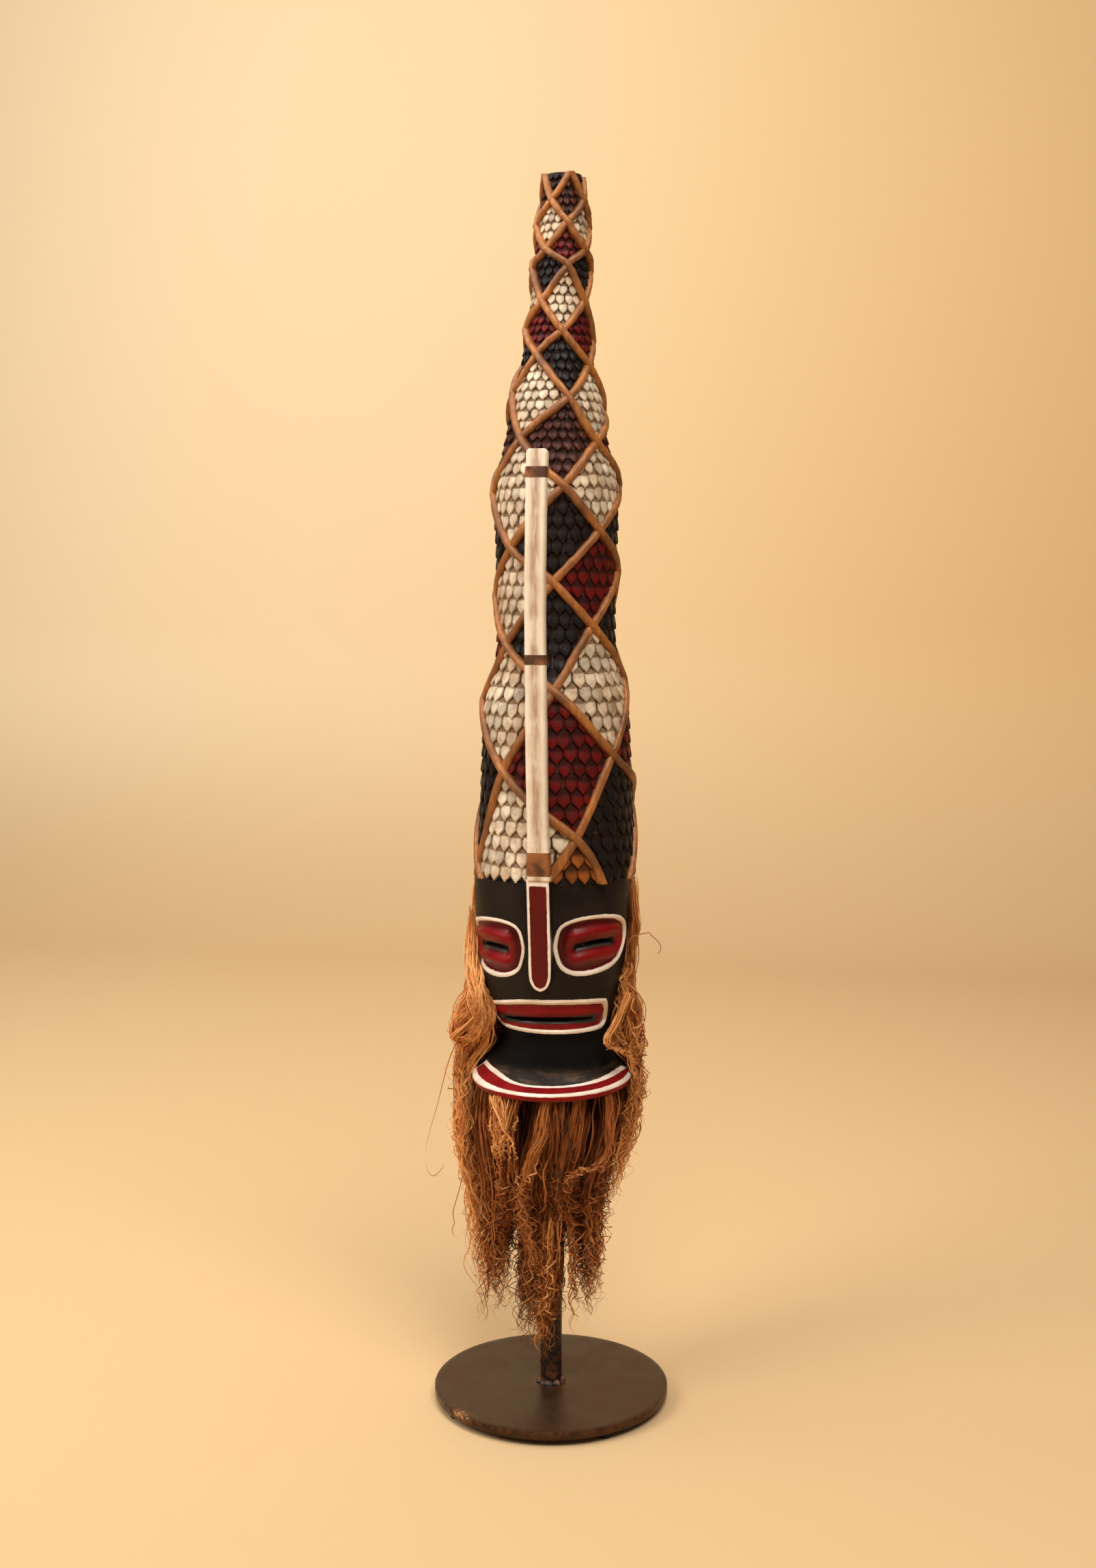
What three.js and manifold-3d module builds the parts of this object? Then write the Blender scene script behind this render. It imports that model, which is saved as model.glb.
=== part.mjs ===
// A tall wooden mask with a scaled crown, raffia hair and beard, on its steel stand.
// Millimetres, +Z up. The face looks along -Y. The origin is on the floor, under the middle of the base plate.

import * as THREE from 'three';
import { mergeVertices } from 'three/addons/utils/BufferGeometryUtils.js';
import Module from 'manifold-3d';

const wasm = await Module();
wasm.setup();

// Stand
const GAP = 0.3;                 // clearance between pieces that touch
const FOOT_HEIGHT = 8;
const FOOT_RADIUS = 7;
const FOOT_CIRCLE = 127;         // radius on which the four feet stand
const FOOT_TURN = 39;            // degrees from the front to the first foot, towards +X
const PLATE_RADIUS = 140;
const PLATE_THICKNESS = 10;
const PLATE_EDGE = 1.2;          // broken edge of the plate
const PLATE_TOP = FOOT_HEIGHT + PLATE_THICKNESS;
const ROD_RADIUS = 13;
const ROD_TOP = 800;             // the rod ends in a socket bored up into the crown
const SOCKET_CLEARANCE = 0.5;
const ROD_SIDES = 24;

// Mask
const MASK_X = 4;                // the mask's own axis, a little right of the rod and behind it
const MASK_Y = 12;
const CROWN_LEAN = 8;            // how far the top of the crown leans to the right
const LEAN_START = 1150;
const MASK_TOP = 1434.5;
const CROWN_FOOT = 635;          // lower edge of the crown, on the forehead
const NECK_Z = 445;
const NECK_RADIUS = 61;
const NECK_SHIFT = 5.2;          // the neck stands this far to the right of the face's axis
const SHIFT_END = 474;           // from this height up the face is back on its axis
const SHIFT_RUN = 26;
const COLLAR_TILT = 4.5;         // the collar's front is lower, and its back higher, by this
const COLLAR_REACH = 112;        // the collar runs this many degrees round to each side
const COLLAR_FADE = 12;          // and dies out over these degrees
// The collar's edge, top and flare: radius and height in front, the same at the sides, and shift to the right.
const COLLAR_ROWS = [
  [93.5, 388, 93.5, 388, 0], [95, 396, 95, 396, 0], [74, 402.5, 84, 404.8, 0.3], [67, 412, 78, 414, 1.5],
  [62.5, 427, 67.5, 428.5, 6],
];
const WALL = 17;                 // thickness of the hollow face

// Crown: height and radius over the tips of the scales
const CROWN_PROFILE = [
  [500, 94], [637, 93.5], [700, 91], [780, 87.5], [836, 84.5], [870, 76], [905, 70], [965, 69], [1040, 71.5], [1090, 71],
  [1134, 60.5], [1180, 53.5], [1226, 42], [1285, 34.5], [1345, 31.5], [1395, 27], [1434, 22], [1510, 20],
];
const SCALE_PROUD = 3.2;         // a scale's tip stands this far off the scale under it
const SCALE_LAP = 0.24;          // part of a scale's side by which the next ones tuck in under its tip

// Lattice, laid out by eye: height, turn (degrees towards +X) and tilt (how much higher its crossings stand on
// the right than on the left) of each row of crossings, top first. The first two rows and the last two lie
// past the ends of the crown and are cut off with them.
const LATTICE_ROWS = [
  [1500, 30, 0], [1466, 30, 0], [1436, 30, 0], [1404, 25, 0], [1378, 20, 0], [1349, 20, 0], [1330, 22, 0],
  [1292, 18, 0], [1257.5, 15, -6], [1226, 19, -8], [1182, 25, -8], [1135, 13, -3], [1083, 16, 6], [1024, 8, 13],
  [975, 7, 14], [915, 1, 15], [853, 8, 14], [771, 12, 13], [686, 24, 35], [585, 12, 12], [490, 12, 12],
];
const ROW_TURN = 45;             // a strip winds this far round the crown from one row to the next
const STRIP_WIDE = 11.5;         // width of a strip at the foot of the crown
const STRIP_NARROW = 8.5;        // and at the top
const STRIP_PROUD = 3.8;
const OVER_LIFT = 1.5;           // the strips that run down to the right pass over the others by this
const STRIP_CREST = 0.62;        // part of a strip's width that is its flat crest
const SCALES_AT_TOP = 3;         // scales along one side of a cell
const SCALES_AT_FOOT = 4;
const SCALES_FROM = 7;           // their number grows from this row down
const SCALES_RUN = 9;            // over this many rows

// Face
const FACE_X = -1;
const FACE_PROFILE = [
  [450, 62], [463, 67], [480, 75], [492, 78.3], [508, 81], [525, 83], [540, 85], [556, 87.4], [572, 89.2], [600, 91],
  [640, 91],
];
const NOSE_X = 2;                // the nose stands a little right of the face's axis
const NOSE_TIP = 512.5;
const NOSE_TOP = 644;
const NOSE_WIDTH = 26.4;
const NOSE_FRONT = 112;          // distance of its front from the face's axis at the top
const NOSE_FRONT_BELOW = 95;     // and at the tip
const BAR_X = 3;
const BAR_WIDTH = 23;
const BAR_DEPTH = 16;
const BAR_TOP = 1119;
const SLIT = 5;                  // height of the openings cut for the eyes and the mouth
const FIELD_DEPTH = 2.5;         // the red fields round the eyes and the mouth are cut in by this
const FIELD_STEP = 8.5;          // spacing of the rows in a field's floor, degrees and millimetres
const FIELD_CUT = [60, 118];     // the cut for a field runs between these radii
const CUT_NARROW = 0.45;         // and is closed at both ends through an outline of this size
const FLOOR_INNER = 30;
const LID = 6.5;                 // swell of the eyelids
const LID_REACH = 28;            // an eyelid has fallen back to the dish this far from the slit
const EYE_DISH = 2.5;            // the dish round the eyelids lies this much deeper than the field
const LIP = 3;                   // swell of the lips
const LIP_REACH = 20;
const MOUTH_DISH = 1.5;
const FACE_TILT = 4.5;           // the eyes stand higher on the right by this and lower on the left
const TILT_START = 440;          // the tilt grows from nothing here
const TILT_END = 540;            // to its full size here

// Outline of the right eye's field and of the mouth's field: azimuth and height.
const EYE_FIELD = [
  [12.8, 566], [17, 584], [30, 591.5], [50, 591.5], [68, 586], [81, 575], [86, 560], [80, 542], [66, 531.5], [44, 527],
  [28, 528.7], [18, 536.5], [13.5, 552],
];
const MOUTH_FIELD = [
  [-54, 487], [-50, 489.2], [-20, 495.8], [5, 496.3], [35, 494], [58, 490.6], [63, 487.5], [69, 476], [74, 466],
  [68, 460.3], [50, 458.8], [5, 459], [-40, 459.8], [-56, 460.3], [-63, 465], [-58, 476],
];
const EYE_SLIT = { start: 29.5, end: 67, z: 558.6, arch: 2 };
const MOUTH_SLIT = { start: -50, end: 56, z: 470.5, arch: 3 };
const LEFT_STRETCH = 7;          // the left eye's field reaches this many degrees further back than the right one's
const STRETCH_FROM = 55;         // and is drawn out from this azimuth
const STRETCH_RUN = 26;          // over these degrees

// Raffia. The hair, lowest row first: height, inner radius beside and behind the face, outer radius and how far
// its middle lies towards +X, and the azimuth at which it ends on the left of the face.
const HAIR_ROWS = [
  [160, 70, 70, 78, -20, 83], [200, 72, 72, 82, -21, 83], [255, 81, 81, 96, -15.5, 83], [320, 93, 93, 107, -14, 83],
  [382, 98, 98, 110, -10, 83], [400, 98, 98, 111, -9.6, 83], [410, 88, 96, 111.5, -9.5, 80], [425, 79, 89, 112.5, -8, 74],
  [450, 70, 80, 113, -6.5, 50], [478, 78.5, 88, 109, -6.5, 50], [512, 84.5, 91.5, 103.5, -5, 60],
  [545, 92, 93, 102, -3.6, 84], [634, 92.5, 92.5, 101.6, -4, 84],
];
const HAIR_INNER_X = [[160, -22], [255, -12], [320, -7], [382, -1], [634, -1]];
const HAIR_START = 83;           // degrees from the front at which the hair begins on the right
const HAIR_LOCKS = 22;
const HAIR_FOOT = 200;           // mean height of its ragged lower edge, which rises to the right
const FOOT_SLOPE = 42;
const FOOT_RAGGED = 36;
const FULL_FROM = 320;           // the hair is whole all round from this height up
const FLUTE = 4;                 // depth of the grooves between the locks
const FLUTES_SHIFT_FROM = 405;   // above this the grooves run between the ones below
const SIDE_TURN = 105;           // the hair's inner side changes from beside the face to behind it
const SIDE_SPREAD = 30;          // over these degrees
const BEARD_TOP = 384;
const BEARD_SIDES = 24;
const BEARD_ROWS = [
  // height, radius and middle
  [215, 60, -17, 4], [250, 73, -12, 8], [300, 84, -8, 10], [350, 91, -3, 12], [BEARD_TOP, 89, -1, 12],
];
const BEARD_LOCKS = [
  { top: [-6, -8, 262], foot: [-6, -14, 64], radiusTop: 48, radiusFoot: 18, sides: 12, bands: 7 },
  { top: [-58, -2, 262], foot: [-71, -4, 98], radiusTop: 28, radiusFoot: 11, sides: 10, bands: 5 },
  { top: [34.5, -2.5, 262], foot: [43, -4, 102], radiusTop: 26.5, radiusFoot: 13, sides: 10, bands: 5 },
];

const rad = (degrees) => degrees * Math.PI / 180;
const mix = (a, b, t) => a + (b - a) * t;
const clamp01 = (t) => Math.min(1, Math.max(0, t));
const smooth = (t) => clamp01(t) ** 2 * (3 - 2 * clamp01(t));
const spread = (n) => ((Math.sin(n * 12.9898) * 43758.5453) % 1 + 1) % 1;   // repeatable scatter, 0 to 1

// A point at an azimuth (degrees from the front towards +X), a radius and a height about an upright axis.
function around(azimuth, radius, z, x = MASK_X, y = MASK_Y) {
  return new THREE.Vector3(x + radius * Math.sin(rad(azimuth)), y - radius * Math.cos(rad(azimuth)), z);
}

// A smooth value read from a short list of [key, value, ...] rows.
function profile(rows, column = 1) {
  const points = rows.map((row) => new THREE.Vector2(row[0], row[column]));
  const curve = new THREE.SplineCurve(points);
  const rising = rows[rows.length - 1][0] > rows[0][0];
  return (key) => {
    let i = 0;
    while (i < rows.length - 2 && (rising ? rows[i + 1][0] <= key : rows[i + 1][0] >= key)) i += 1;
    let low = 0;
    let high = 1;
    for (let n = 0; n < 24; n += 1) {
      const middle = (low + high) / 2;
      const at = curve.getPoint((i + middle) / (rows.length - 1)).x;
      if ((at < key) === rising) low = middle;
      else high = middle;
    }
    return curve.getPoint((i + low) / (rows.length - 1)).y;
  };
}

// A closed body from rings of points, lowest first, each with as many points, running counter-clockwise.
// A ring that doubles back on itself, like a crescent, is closed across from its first half to its second.
function skin(rings, crescent = false) {
  const count = rings[0].length;
  const corners = rings.flat();
  const faces = [];
  const at = (ring, j) => ring * count + (j % count);
  for (let ring = 0; ring + 1 < rings.length; ring += 1) {
    for (let j = 0; j < count; j += 1) {
      faces.push(at(ring, j), at(ring, j + 1), at(ring + 1, j + 1));
      faces.push(at(ring, j), at(ring + 1, j + 1), at(ring + 1, j));
    }
  }
  for (const [ring, upper] of [[0, false], [rings.length - 1, true]]) {
    const add = (a, b, c) => faces.push(...(upper ? [a, b, c] : [c, b, a]));
    if (crescent) {
      for (let j = 0; j + 1 < count / 2; j += 1) {
        add(at(ring, j), at(ring, j + 1), at(ring, count - 2 - j));
        add(at(ring, j), at(ring, count - 2 - j), at(ring, count - 1 - j));
      }
    } else {
      const middle = new THREE.Vector3();
      rings[ring].forEach((point) => middle.add(point));
      corners.push(middle.divideScalar(count));
      for (let j = 0; j < count; j += 1) add(corners.length - 1, at(ring, j), at(ring, j + 1));
    }
  }
  const geometry = new THREE.BufferGeometry().setFromPoints(corners);
  geometry.setIndex(faces);
  return geometry;
}

function toSolid(geometry) {
  const bare = geometry.clone();
  bare.deleteAttribute('normal');
  bare.deleteAttribute('uv');
  const merged = mergeVertices(bare, 1e-4);
  const vertProperties = new Float32Array(merged.attributes.position.array);
  const triVerts = new Uint32Array(merged.index.array);
  return new wasm.Manifold(new wasm.Mesh({ numProp: 3, vertProperties, triVerts }));
}

// A solid from rings given in either direction.
function body(rings) {
  const solid = toSolid(skin(rings));
  return solid.volume() > 0 ? solid : toSolid(skin(rings.slice().reverse()));
}

function toGeometry(solid) {
  const mesh = solid.getMesh();
  const geometry = new THREE.BufferGeometry();
  geometry.setAttribute('position', new THREE.BufferAttribute(new Float32Array(mesh.vertProperties), 3));
  geometry.setIndex(new THREE.BufferAttribute(new Uint32Array(mesh.triVerts), 1));
  return geometry;
}

const join = (solids) => solids.reduce((all, solid) => all.add(solid));

// A turned body about an upright axis at x, y, from [radius, z] pairs that start and end on the axis.
function turned(pairs, sides, x = 0, y = 0) {
  const geometry = new THREE.LatheGeometry(pairs.map(([r, z]) => new THREE.Vector2(r, z)), sides);
  return geometry.rotateX(Math.PI / 2).translate(x, y, 0);
}

const crownRadius = profile(CROWN_PROFILE);
const crownAxis = (z) => MASK_X + CROWN_LEAN * smooth((z - LEAN_START) / (MASK_TOP - LEAN_START));
const onCrown = (azimuth, radius, z) => around(azimuth, radius, z, crownAxis(z));

const rowIndex = LATTICE_ROWS.map((row, index) => [index, ...row]);
const rowHeight = profile(rowIndex, 1);
const rowTurn = profile(rowIndex, 2);
const rowTilt = profile(rowIndex, 3);

// A point of the crown. p counts the strips that run down to the left and q those that run down to the right,
// so strips cross where both are whole numbers, and p + q is the row.
function crownPoint(p, q, lift) {
  const row = Math.round((p + q) * 1e6) / 1e6;
  const columns = 360 / ROW_TURN;
  const column = Math.round((((p - q) % columns + columns) % columns) * 1e6) / 1e6 % columns;
  const z = rowHeight(row) + rowTilt(row) * Math.sin(rad(ROW_TURN * column));
  return onCrown(rowTurn(row) + ROW_TURN * column, crownRadius(z) + lift, z);
}

// Half of a strip's width, or of its crest, as a part of the way from one strip to the next.
function stripShare(row, part) {
  const radius = crownRadius(rowHeight(row));
  const width = mix(STRIP_NARROW, STRIP_WIDE, (radius - 23) / 70);
  return part * width / (2 * 1.14 * radius);
}

// Triangles between two lines of points that run side by side, the second on the left of the first.
function zip(right, left) {
  const faces = [];
  let i = 0;
  let j = 0;
  while (i < right.length - 1 || j < left.length - 1) {
    const nextRight = (i + 1) / (right.length - 1);
    const nextLeft = (j + 1) / (left.length - 1);
    if (j === left.length - 1 || (i < right.length - 1 && nextRight <= nextLeft + 1e-9)) {
      faces.push([right[i], right[i + 1], left[j]]);
      i += 1;
    } else {
      faces.push([right[i], left[j + 1], left[j]]);
      j += 1;
    }
  }
  return faces;
}

// One cell of the lattice with its scales, the two strips above it and their crossing, as triangles.
function latticeCell(k, m) {
  const scales = Math.round(mix(SCALES_AT_TOP, SCALES_AT_FOOT, clamp01((k + m - SCALES_FROM) / SCALES_RUN)));
  const over = STRIP_PROUD + OVER_LIFT;
  const inside = (a, b, shift, lift) => {
    const share = stripShare(k + m + a + b, 1);
    const p = k + mix(share, 1 - share, a + shift / scales);
    const q = m + mix(share, 1 - share, b + shift / scales);
    return crownPoint(p, q, lift);
  };
  const onEdge = (i, j) => i === 0 || j === 0 || i === scales || j === scales;
  const rim = (i, j) => inside(i / scales, j / scales, 0, -SCALE_PROUD * 0.7);
  const tip = (i, j) => (onEdge(i, j) ? rim(i, j) : inside(i / scales, j / scales, 0, 0));
  const tuck = (i, j) => (onEdge(i, j) ? rim(i, j) : inside(i / scales, j / scales, SCALE_LAP, -SCALE_PROUD));
  const faces = [];
  for (let i = 0; i < scales; i += 1) {
    for (let j = 0; j < scales; j += 1) {
      faces.push([tuck(i, j), tuck(i + 1, j), tip(i + 1, j + 1)], [tuck(i, j), tip(i + 1, j + 1), tuck(i, j + 1)]);
      if (!onEdge(i + 1, j)) faces.push([tuck(i, j), tip(i + 1, j), tuck(i + 1, j)]);
      if (!onEdge(i, j + 1)) faces.push([tuck(i, j), tuck(i, j + 1), tip(i, j + 1)]);
    }
  }
  // Crest lines: the strips that pass over are level, and the others step down beside each crossing.
  const crest = (a, b, sideA, sideB, lift) => {
    const share = stripShare(k + m + a + b, STRIP_CREST);
    return crownPoint(k + a + sideA * share, m + b + sideB * share, lift);
  };
  const overLine = (b, side) => [
    crest(0, b, 1, side, over), crest(0.5, b, 0, side, over), crest(1, b, -1, side, over)];
  const underLine = (a, side) => [
    crest(a, 0, side, 1, over), crest(a, 0, side, 1.5, STRIP_PROUD), crest(a, 0.5, side, 0, STRIP_PROUD),
    crest(a, 1, side, -1.5, STRIP_PROUD), crest(a, 1, side, -1, over)];
  const rimLine = (place) => Array.from({ length: scales + 1 }, (_, n) => place(n));
  faces.push(...zip(overLine(0, 1), rimLine((n) => rim(n, 0))));
  faces.push(...zip(rimLine((n) => rim(n, scales)), overLine(1, -1)));
  faces.push(...zip(rimLine((n) => rim(0, n)), underLine(0, 1)));
  faces.push(...zip(underLine(1, -1), rimLine((n) => rim(scales, n))));
  faces.push(...zip(overLine(0, -1), overLine(0, 1)));
  faces.push(...zip(underLine(0, 1), underLine(0, -1)));
  const crossing = [[-1, -1], [1, -1], [1, 1], [-1, 1]].map(([sideA, sideB]) => crest(0, 0, sideA, sideB, over));
  faces.push([crossing[0], crossing[1], crossing[2]], [crossing[0], crossing[2], crossing[3]]);
  return faces;
}

// Closes each open edge of a surface with a fan to a point that lies `beyond` it, away from the middle.
function closeEnds(geometry, middleZ, beyond) {
  const faces = Array.from(geometry.index.array);
  const corners = Array.from(geometry.attributes.position.array);
  const next = new Map();
  const seen = new Set();
  for (let n = 0; n < faces.length; n += 3) {
    for (let e = 0; e < 3; e += 1) seen.add(`${faces[n + e]} ${faces[n + (e + 1) % 3]}`);
  }
  for (const edge of seen) {
    const [from, to] = edge.split(' ').map(Number);
    if (!seen.has(`${to} ${from}`)) next.set(to, from);
  }
  while (next.size > 0) {
    const loop = [];
    let at = next.keys().next().value;
    while (next.has(at)) {
      loop.push(at);
      const following = next.get(at);
      next.delete(at);
      at = following;
    }
    const middle = [0, 1, 2].map((axis) => loop.reduce((sum, n) => sum + corners[3 * n + axis], 0) / loop.length);
    middle[2] += Math.sign(middle[2] - middleZ) * beyond;
    corners.push(...middle);
    loop.forEach((corner, n) => faces.push(corner, loop[(n + 1) % loop.length], corners.length / 3 - 1));
  }
  const closed = new THREE.BufferGeometry();
  closed.setAttribute('position', new THREE.Float32BufferAttribute(corners, 3));
  closed.setIndex(faces);
  return closed;
}

// The crown: cells of overlapping scales between the raised strips, cut off level at its top and its foot.
function crown() {
  const points = [];
  const columns = 360 / ROW_TURN;
  for (let row = 0; row < LATTICE_ROWS.length - 2; row += 1) {
    for (let column = row % 2; column < columns; column += 2) {
      for (const [a, b, c] of latticeCell((row + column) / 2, (row - column) / 2)) points.push(a, c, b);
    }
  }
  const open = mergeVertices(new THREE.BufferGeometry().setFromPoints(points), 1e-4);
  const closed = closeEnds(open, (CROWN_FOOT + MASK_TOP) / 2, 25);
  const reach = turned([[0, CROWN_FOOT], [130, CROWN_FOOT], [130, MASK_TOP], [0, MASK_TOP]], 12, MASK_X, MASK_Y);
  return toSolid(closed).intersect(toSolid(reach));
}

const faceRadius = profile(FACE_PROFILE);
const faceAxis = (z) => FACE_X + NECK_SHIFT * smooth((SHIFT_END - z) / SHIFT_RUN);

// Face, neck and collar, all round, from the collar's underside to the forehead under the crown.
function head() {
  const azimuths = [];
  for (let azimuth = -99; azimuth <= 99; azimuth += 9) azimuths.push(azimuth);
  for (const azimuth of [108, 113, 119, 145, 180, 215, 241, 247, 252]) azimuths.push(azimuth);
  const tilt = (azimuth) => -COLLAR_TILT * Math.cos(rad(azimuth));
  const side = (azimuth) => Math.abs(azimuth > 180 ? azimuth - 360 : azimuth);
  const rings = COLLAR_ROWS.map(([frontRadius, frontZ, sideRadius, sideZ, shift]) => azimuths.map((azimuth) => {
    const sideways = Math.sin(rad(Math.min(side(azimuth), 90))) ** 2;
    const reach = smooth((COLLAR_REACH + COLLAR_FADE / 2 - side(azimuth)) / COLLAR_FADE);
    const radius = mix(NECK_RADIUS, mix(frontRadius, sideRadius, sideways), reach);
    return around(azimuth, radius, mix(frontZ, sideZ, sideways) + tilt(azimuth), FACE_X + shift);
  }));
  rings.push(azimuths.map((azimuth) => around(azimuth, NECK_RADIUS, NECK_Z, faceAxis(NECK_Z))));
  for (const z of [456, 465, 478, 494, 510, 528, 550, 585, CROWN_FOOT + 1]) {
    rings.push(azimuths.map((azimuth) => around(azimuth, faceRadius(z), z, faceAxis(z))));
  }
  return toSolid(skin(rings));
}

// A point of the face, with its slight tilt.
function onFace(azimuth, radius, z) {
  const tilt = FACE_TILT * smooth((z - TILT_START) / (TILT_END - TILT_START));
  return around(azimuth, radius, z + tilt * Math.sin(rad(azimuth)), faceAxis(z));
}

// Height of the middle line of a slit, part t of the way along it.
const slitHeight = ({ z, arch }, t) => z + arch * Math.sin(Math.PI * clamp01(t));

// A field cut into the face: everything inside the outline that lies outside the floor, whose depth is given.
function fieldCut(outline, depth) {
  const curve = new THREE.CatmullRomCurve3(outline.map(([azimuth, z]) => new THREE.Vector3(azimuth, z, 0)), true);
  const points = curve.getPoints(outline.length * 2).slice(0, -1);
  const azimuths = points.map(({ x }) => x);
  const heights = points.map(({ y }) => y);
  const middle = [azimuths, heights].map((values) => (Math.min(...values) + Math.max(...values)) / 2);
  // Inner and outer ends of the cut follow the roundness of the face, through a smaller outline inside the first.
  const ring = (radius, share) => points.map(({ x, y }) => (
    onFace(mix(middle[0], x, share), radius, mix(middle[1], y, share))));
  const [inner, outer] = FIELD_CUT;
  const prism = body([ring(inner, CUT_NARROW), ring(inner, 1), ring(outer, 1), ring(outer, CUT_NARROW)]);
  const [west, east] = [Math.min(...azimuths) - 3, Math.max(...azimuths) + 3];
  const [low, high] = [Math.min(...heights) - 4, Math.max(...heights) + 4];
  const columns = Math.round((east - west) / FIELD_STEP);
  const rows = Math.round((high - low) / FIELD_STEP);
  const floor = [];
  for (let i = 0; i <= columns; i += 1) {
    const azimuth = mix(west, east, i / columns);
    const section = [onFace(azimuth, FLOOR_INNER, low), onFace(azimuth, FLOOR_INNER, high)];
    for (let j = rows; j >= 0; j -= 1) {
      const z = mix(low, high, j / rows);
      section.push(onFace(azimuth, faceRadius(z) - depth(azimuth, z), z));
    }
    floor.push(section);
  }
  return prism.subtract(body(floor));
}

// Depth of an eye's field under the face: a dish with an upper and a lower lid that swell on each side of the slit.
function eyeDepth(azimuth, z) {
  const along = (azimuth - EYE_SLIT.start) / (EYE_SLIT.end - EYE_SLIT.start);
  const off = Math.abs(z - slitHeight(EYE_SLIT, along)) / LID_REACH;
  const inSlit = Math.sin(Math.PI * clamp01(mix(0.15, 0.85, along)));
  return FIELD_DEPTH + EYE_DISH - LID * inSlit * Math.sin(Math.PI * clamp01(off)) ** 1.5;
}

function mouthDepth(azimuth, z) {
  const along = (azimuth - MOUTH_SLIT.start) / (MOUTH_SLIT.end - MOUTH_SLIT.start);
  const off = Math.abs(z - slitHeight(MOUTH_SLIT, along)) / LIP_REACH;
  return FIELD_DEPTH + MOUTH_DISH - LIP * Math.sin(Math.PI * clamp01(off)) * Math.cos(rad(azimuth));
}

// The hollow that the wearer's face fills, open below and behind.
function hollow() {
  const cavity = turned([
    [0, 370], [NECK_RADIUS - 14, 370], [NECK_RADIUS - 14, 450], [faceRadius(500) - WALL, 500],
    [faceRadius(560) - WALL, 560], [faceRadius(600) - WALL, 640], [58, 652], [0, 656],
  ], 24, FACE_X, MASK_Y);
  const back = new THREE.BoxGeometry(112, 120, 278);
  back.translate(FACE_X, MASK_Y + 75, 370 + 139);
  return toSolid(cavity).add(toSolid(back));
}

// The azimuth on the left of the face that answers to one on the right: the left eye is drawn out round the side.
const toLeft = (azimuth) => -azimuth - LEFT_STRETCH * smooth((azimuth - STRETCH_FROM) / STRETCH_RUN);

// A slit cut in from the front, on the right (side 1) or mirrored to the left (side -1).
function slit(line, side = 1) {
  const steps = 6;
  const path = [];
  for (let step = 0; step <= steps; step += 1) {
    const t = step / steps;
    const azimuth = side * mix(line.start, line.end, t);
    const half = 0.5 * SLIT * Math.sqrt(Math.sin(Math.PI * mix(0.06, 0.94, t)));
    const z = slitHeight(line, t);
    path.push([[40, z - half], [40, z + half], [110, z + half], [110, z - half]].map(([radius, height]) => (
      onFace(azimuth, radius, height))));
  }
  return body(path);
}

// Nose ridge, pointed below, its front leaning out towards the top.
function nose() {
  const half = NOSE_WIDTH / 2;
  const shape = [
    [0, NOSE_TIP], [half * 0.6, NOSE_TIP + 4], [half * 0.92, NOSE_TIP + 13], [half, NOSE_TIP + 25], [half, NOSE_TOP],
  ];
  const outline = [...shape, ...shape.slice(1).reverse().map(([x, z]) => [-x, z])];
  const front = (z) => mix(NOSE_FRONT_BELOW, NOSE_FRONT, (z - NOSE_TIP) / (NOSE_TOP - NOSE_TIP));
  const back = outline.map(([x, z]) => new THREE.Vector3(NOSE_X + x, MASK_Y - 76, z));
  const edge = outline.map(([x, z]) => new THREE.Vector3(NOSE_X + x, MASK_Y - front(z) + 1.5, z));
  const face = outline.map(([x, z]) => new THREE.Vector3(NOSE_X + x * 0.9, MASK_Y - front(z), z));
  return toSolid(skin([back, edge, face]));
}

// The free bar that goes on upwards from the top of the nose, leaning gently away from the crown.
function noseBar() {
  const steps = 8;
  const chamfer = 2.5;
  const rings = [];
  for (let step = 0; step <= steps; step += 1) {
    const t = step / steps;
    const u = mix(NOSE_WIDTH, BAR_WIDTH, clamp01(t * 6)) / 2;
    const v = BAR_DEPTH / 2;
    const x = BAR_X - 2.5 * Math.sin(Math.PI * t);
    const y = MASK_Y - NOSE_FRONT + v - 14 * Math.sin(Math.PI * 0.55 * t);
    const z = mix(NOSE_TOP - 7, BAR_TOP, t);
    const section = [[-u, v], [-u, chamfer - v], [chamfer - u, -v], [u - chamfer, -v], [u, chamfer - v], [u, v]];
    rings.push(section.map(([across, back]) => new THREE.Vector3(x + across, y + back, z)));
  }
  return toSolid(skin(rings));
}

function maskCarving() {
  const eyes = [
    fieldCut(EYE_FIELD, eyeDepth),
    fieldCut(EYE_FIELD.map(([azimuth, z]) => [toLeft(azimuth), z]), (azimuth, z) => eyeDepth(-azimuth, z)),
  ];
  const slits = [slit(EYE_SLIT), slit(EYE_SLIT, -1), slit(MOUTH_SLIT)];
  const bore = ROD_RADIUS + SOCKET_CLEARANCE;
  const socket = toSolid(turned([[0, 600], [bore, 600], [bore, ROD_TOP], [0, ROD_TOP]], ROD_SIDES));
  const face = head().subtract(join([...eyes, fieldCut(MOUTH_FIELD, mouthDepth)]));
  return toGeometry(join([crown(), face, nose(), noseBar()]).subtract(join([hollow(), ...slits, socket])));
}

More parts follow.
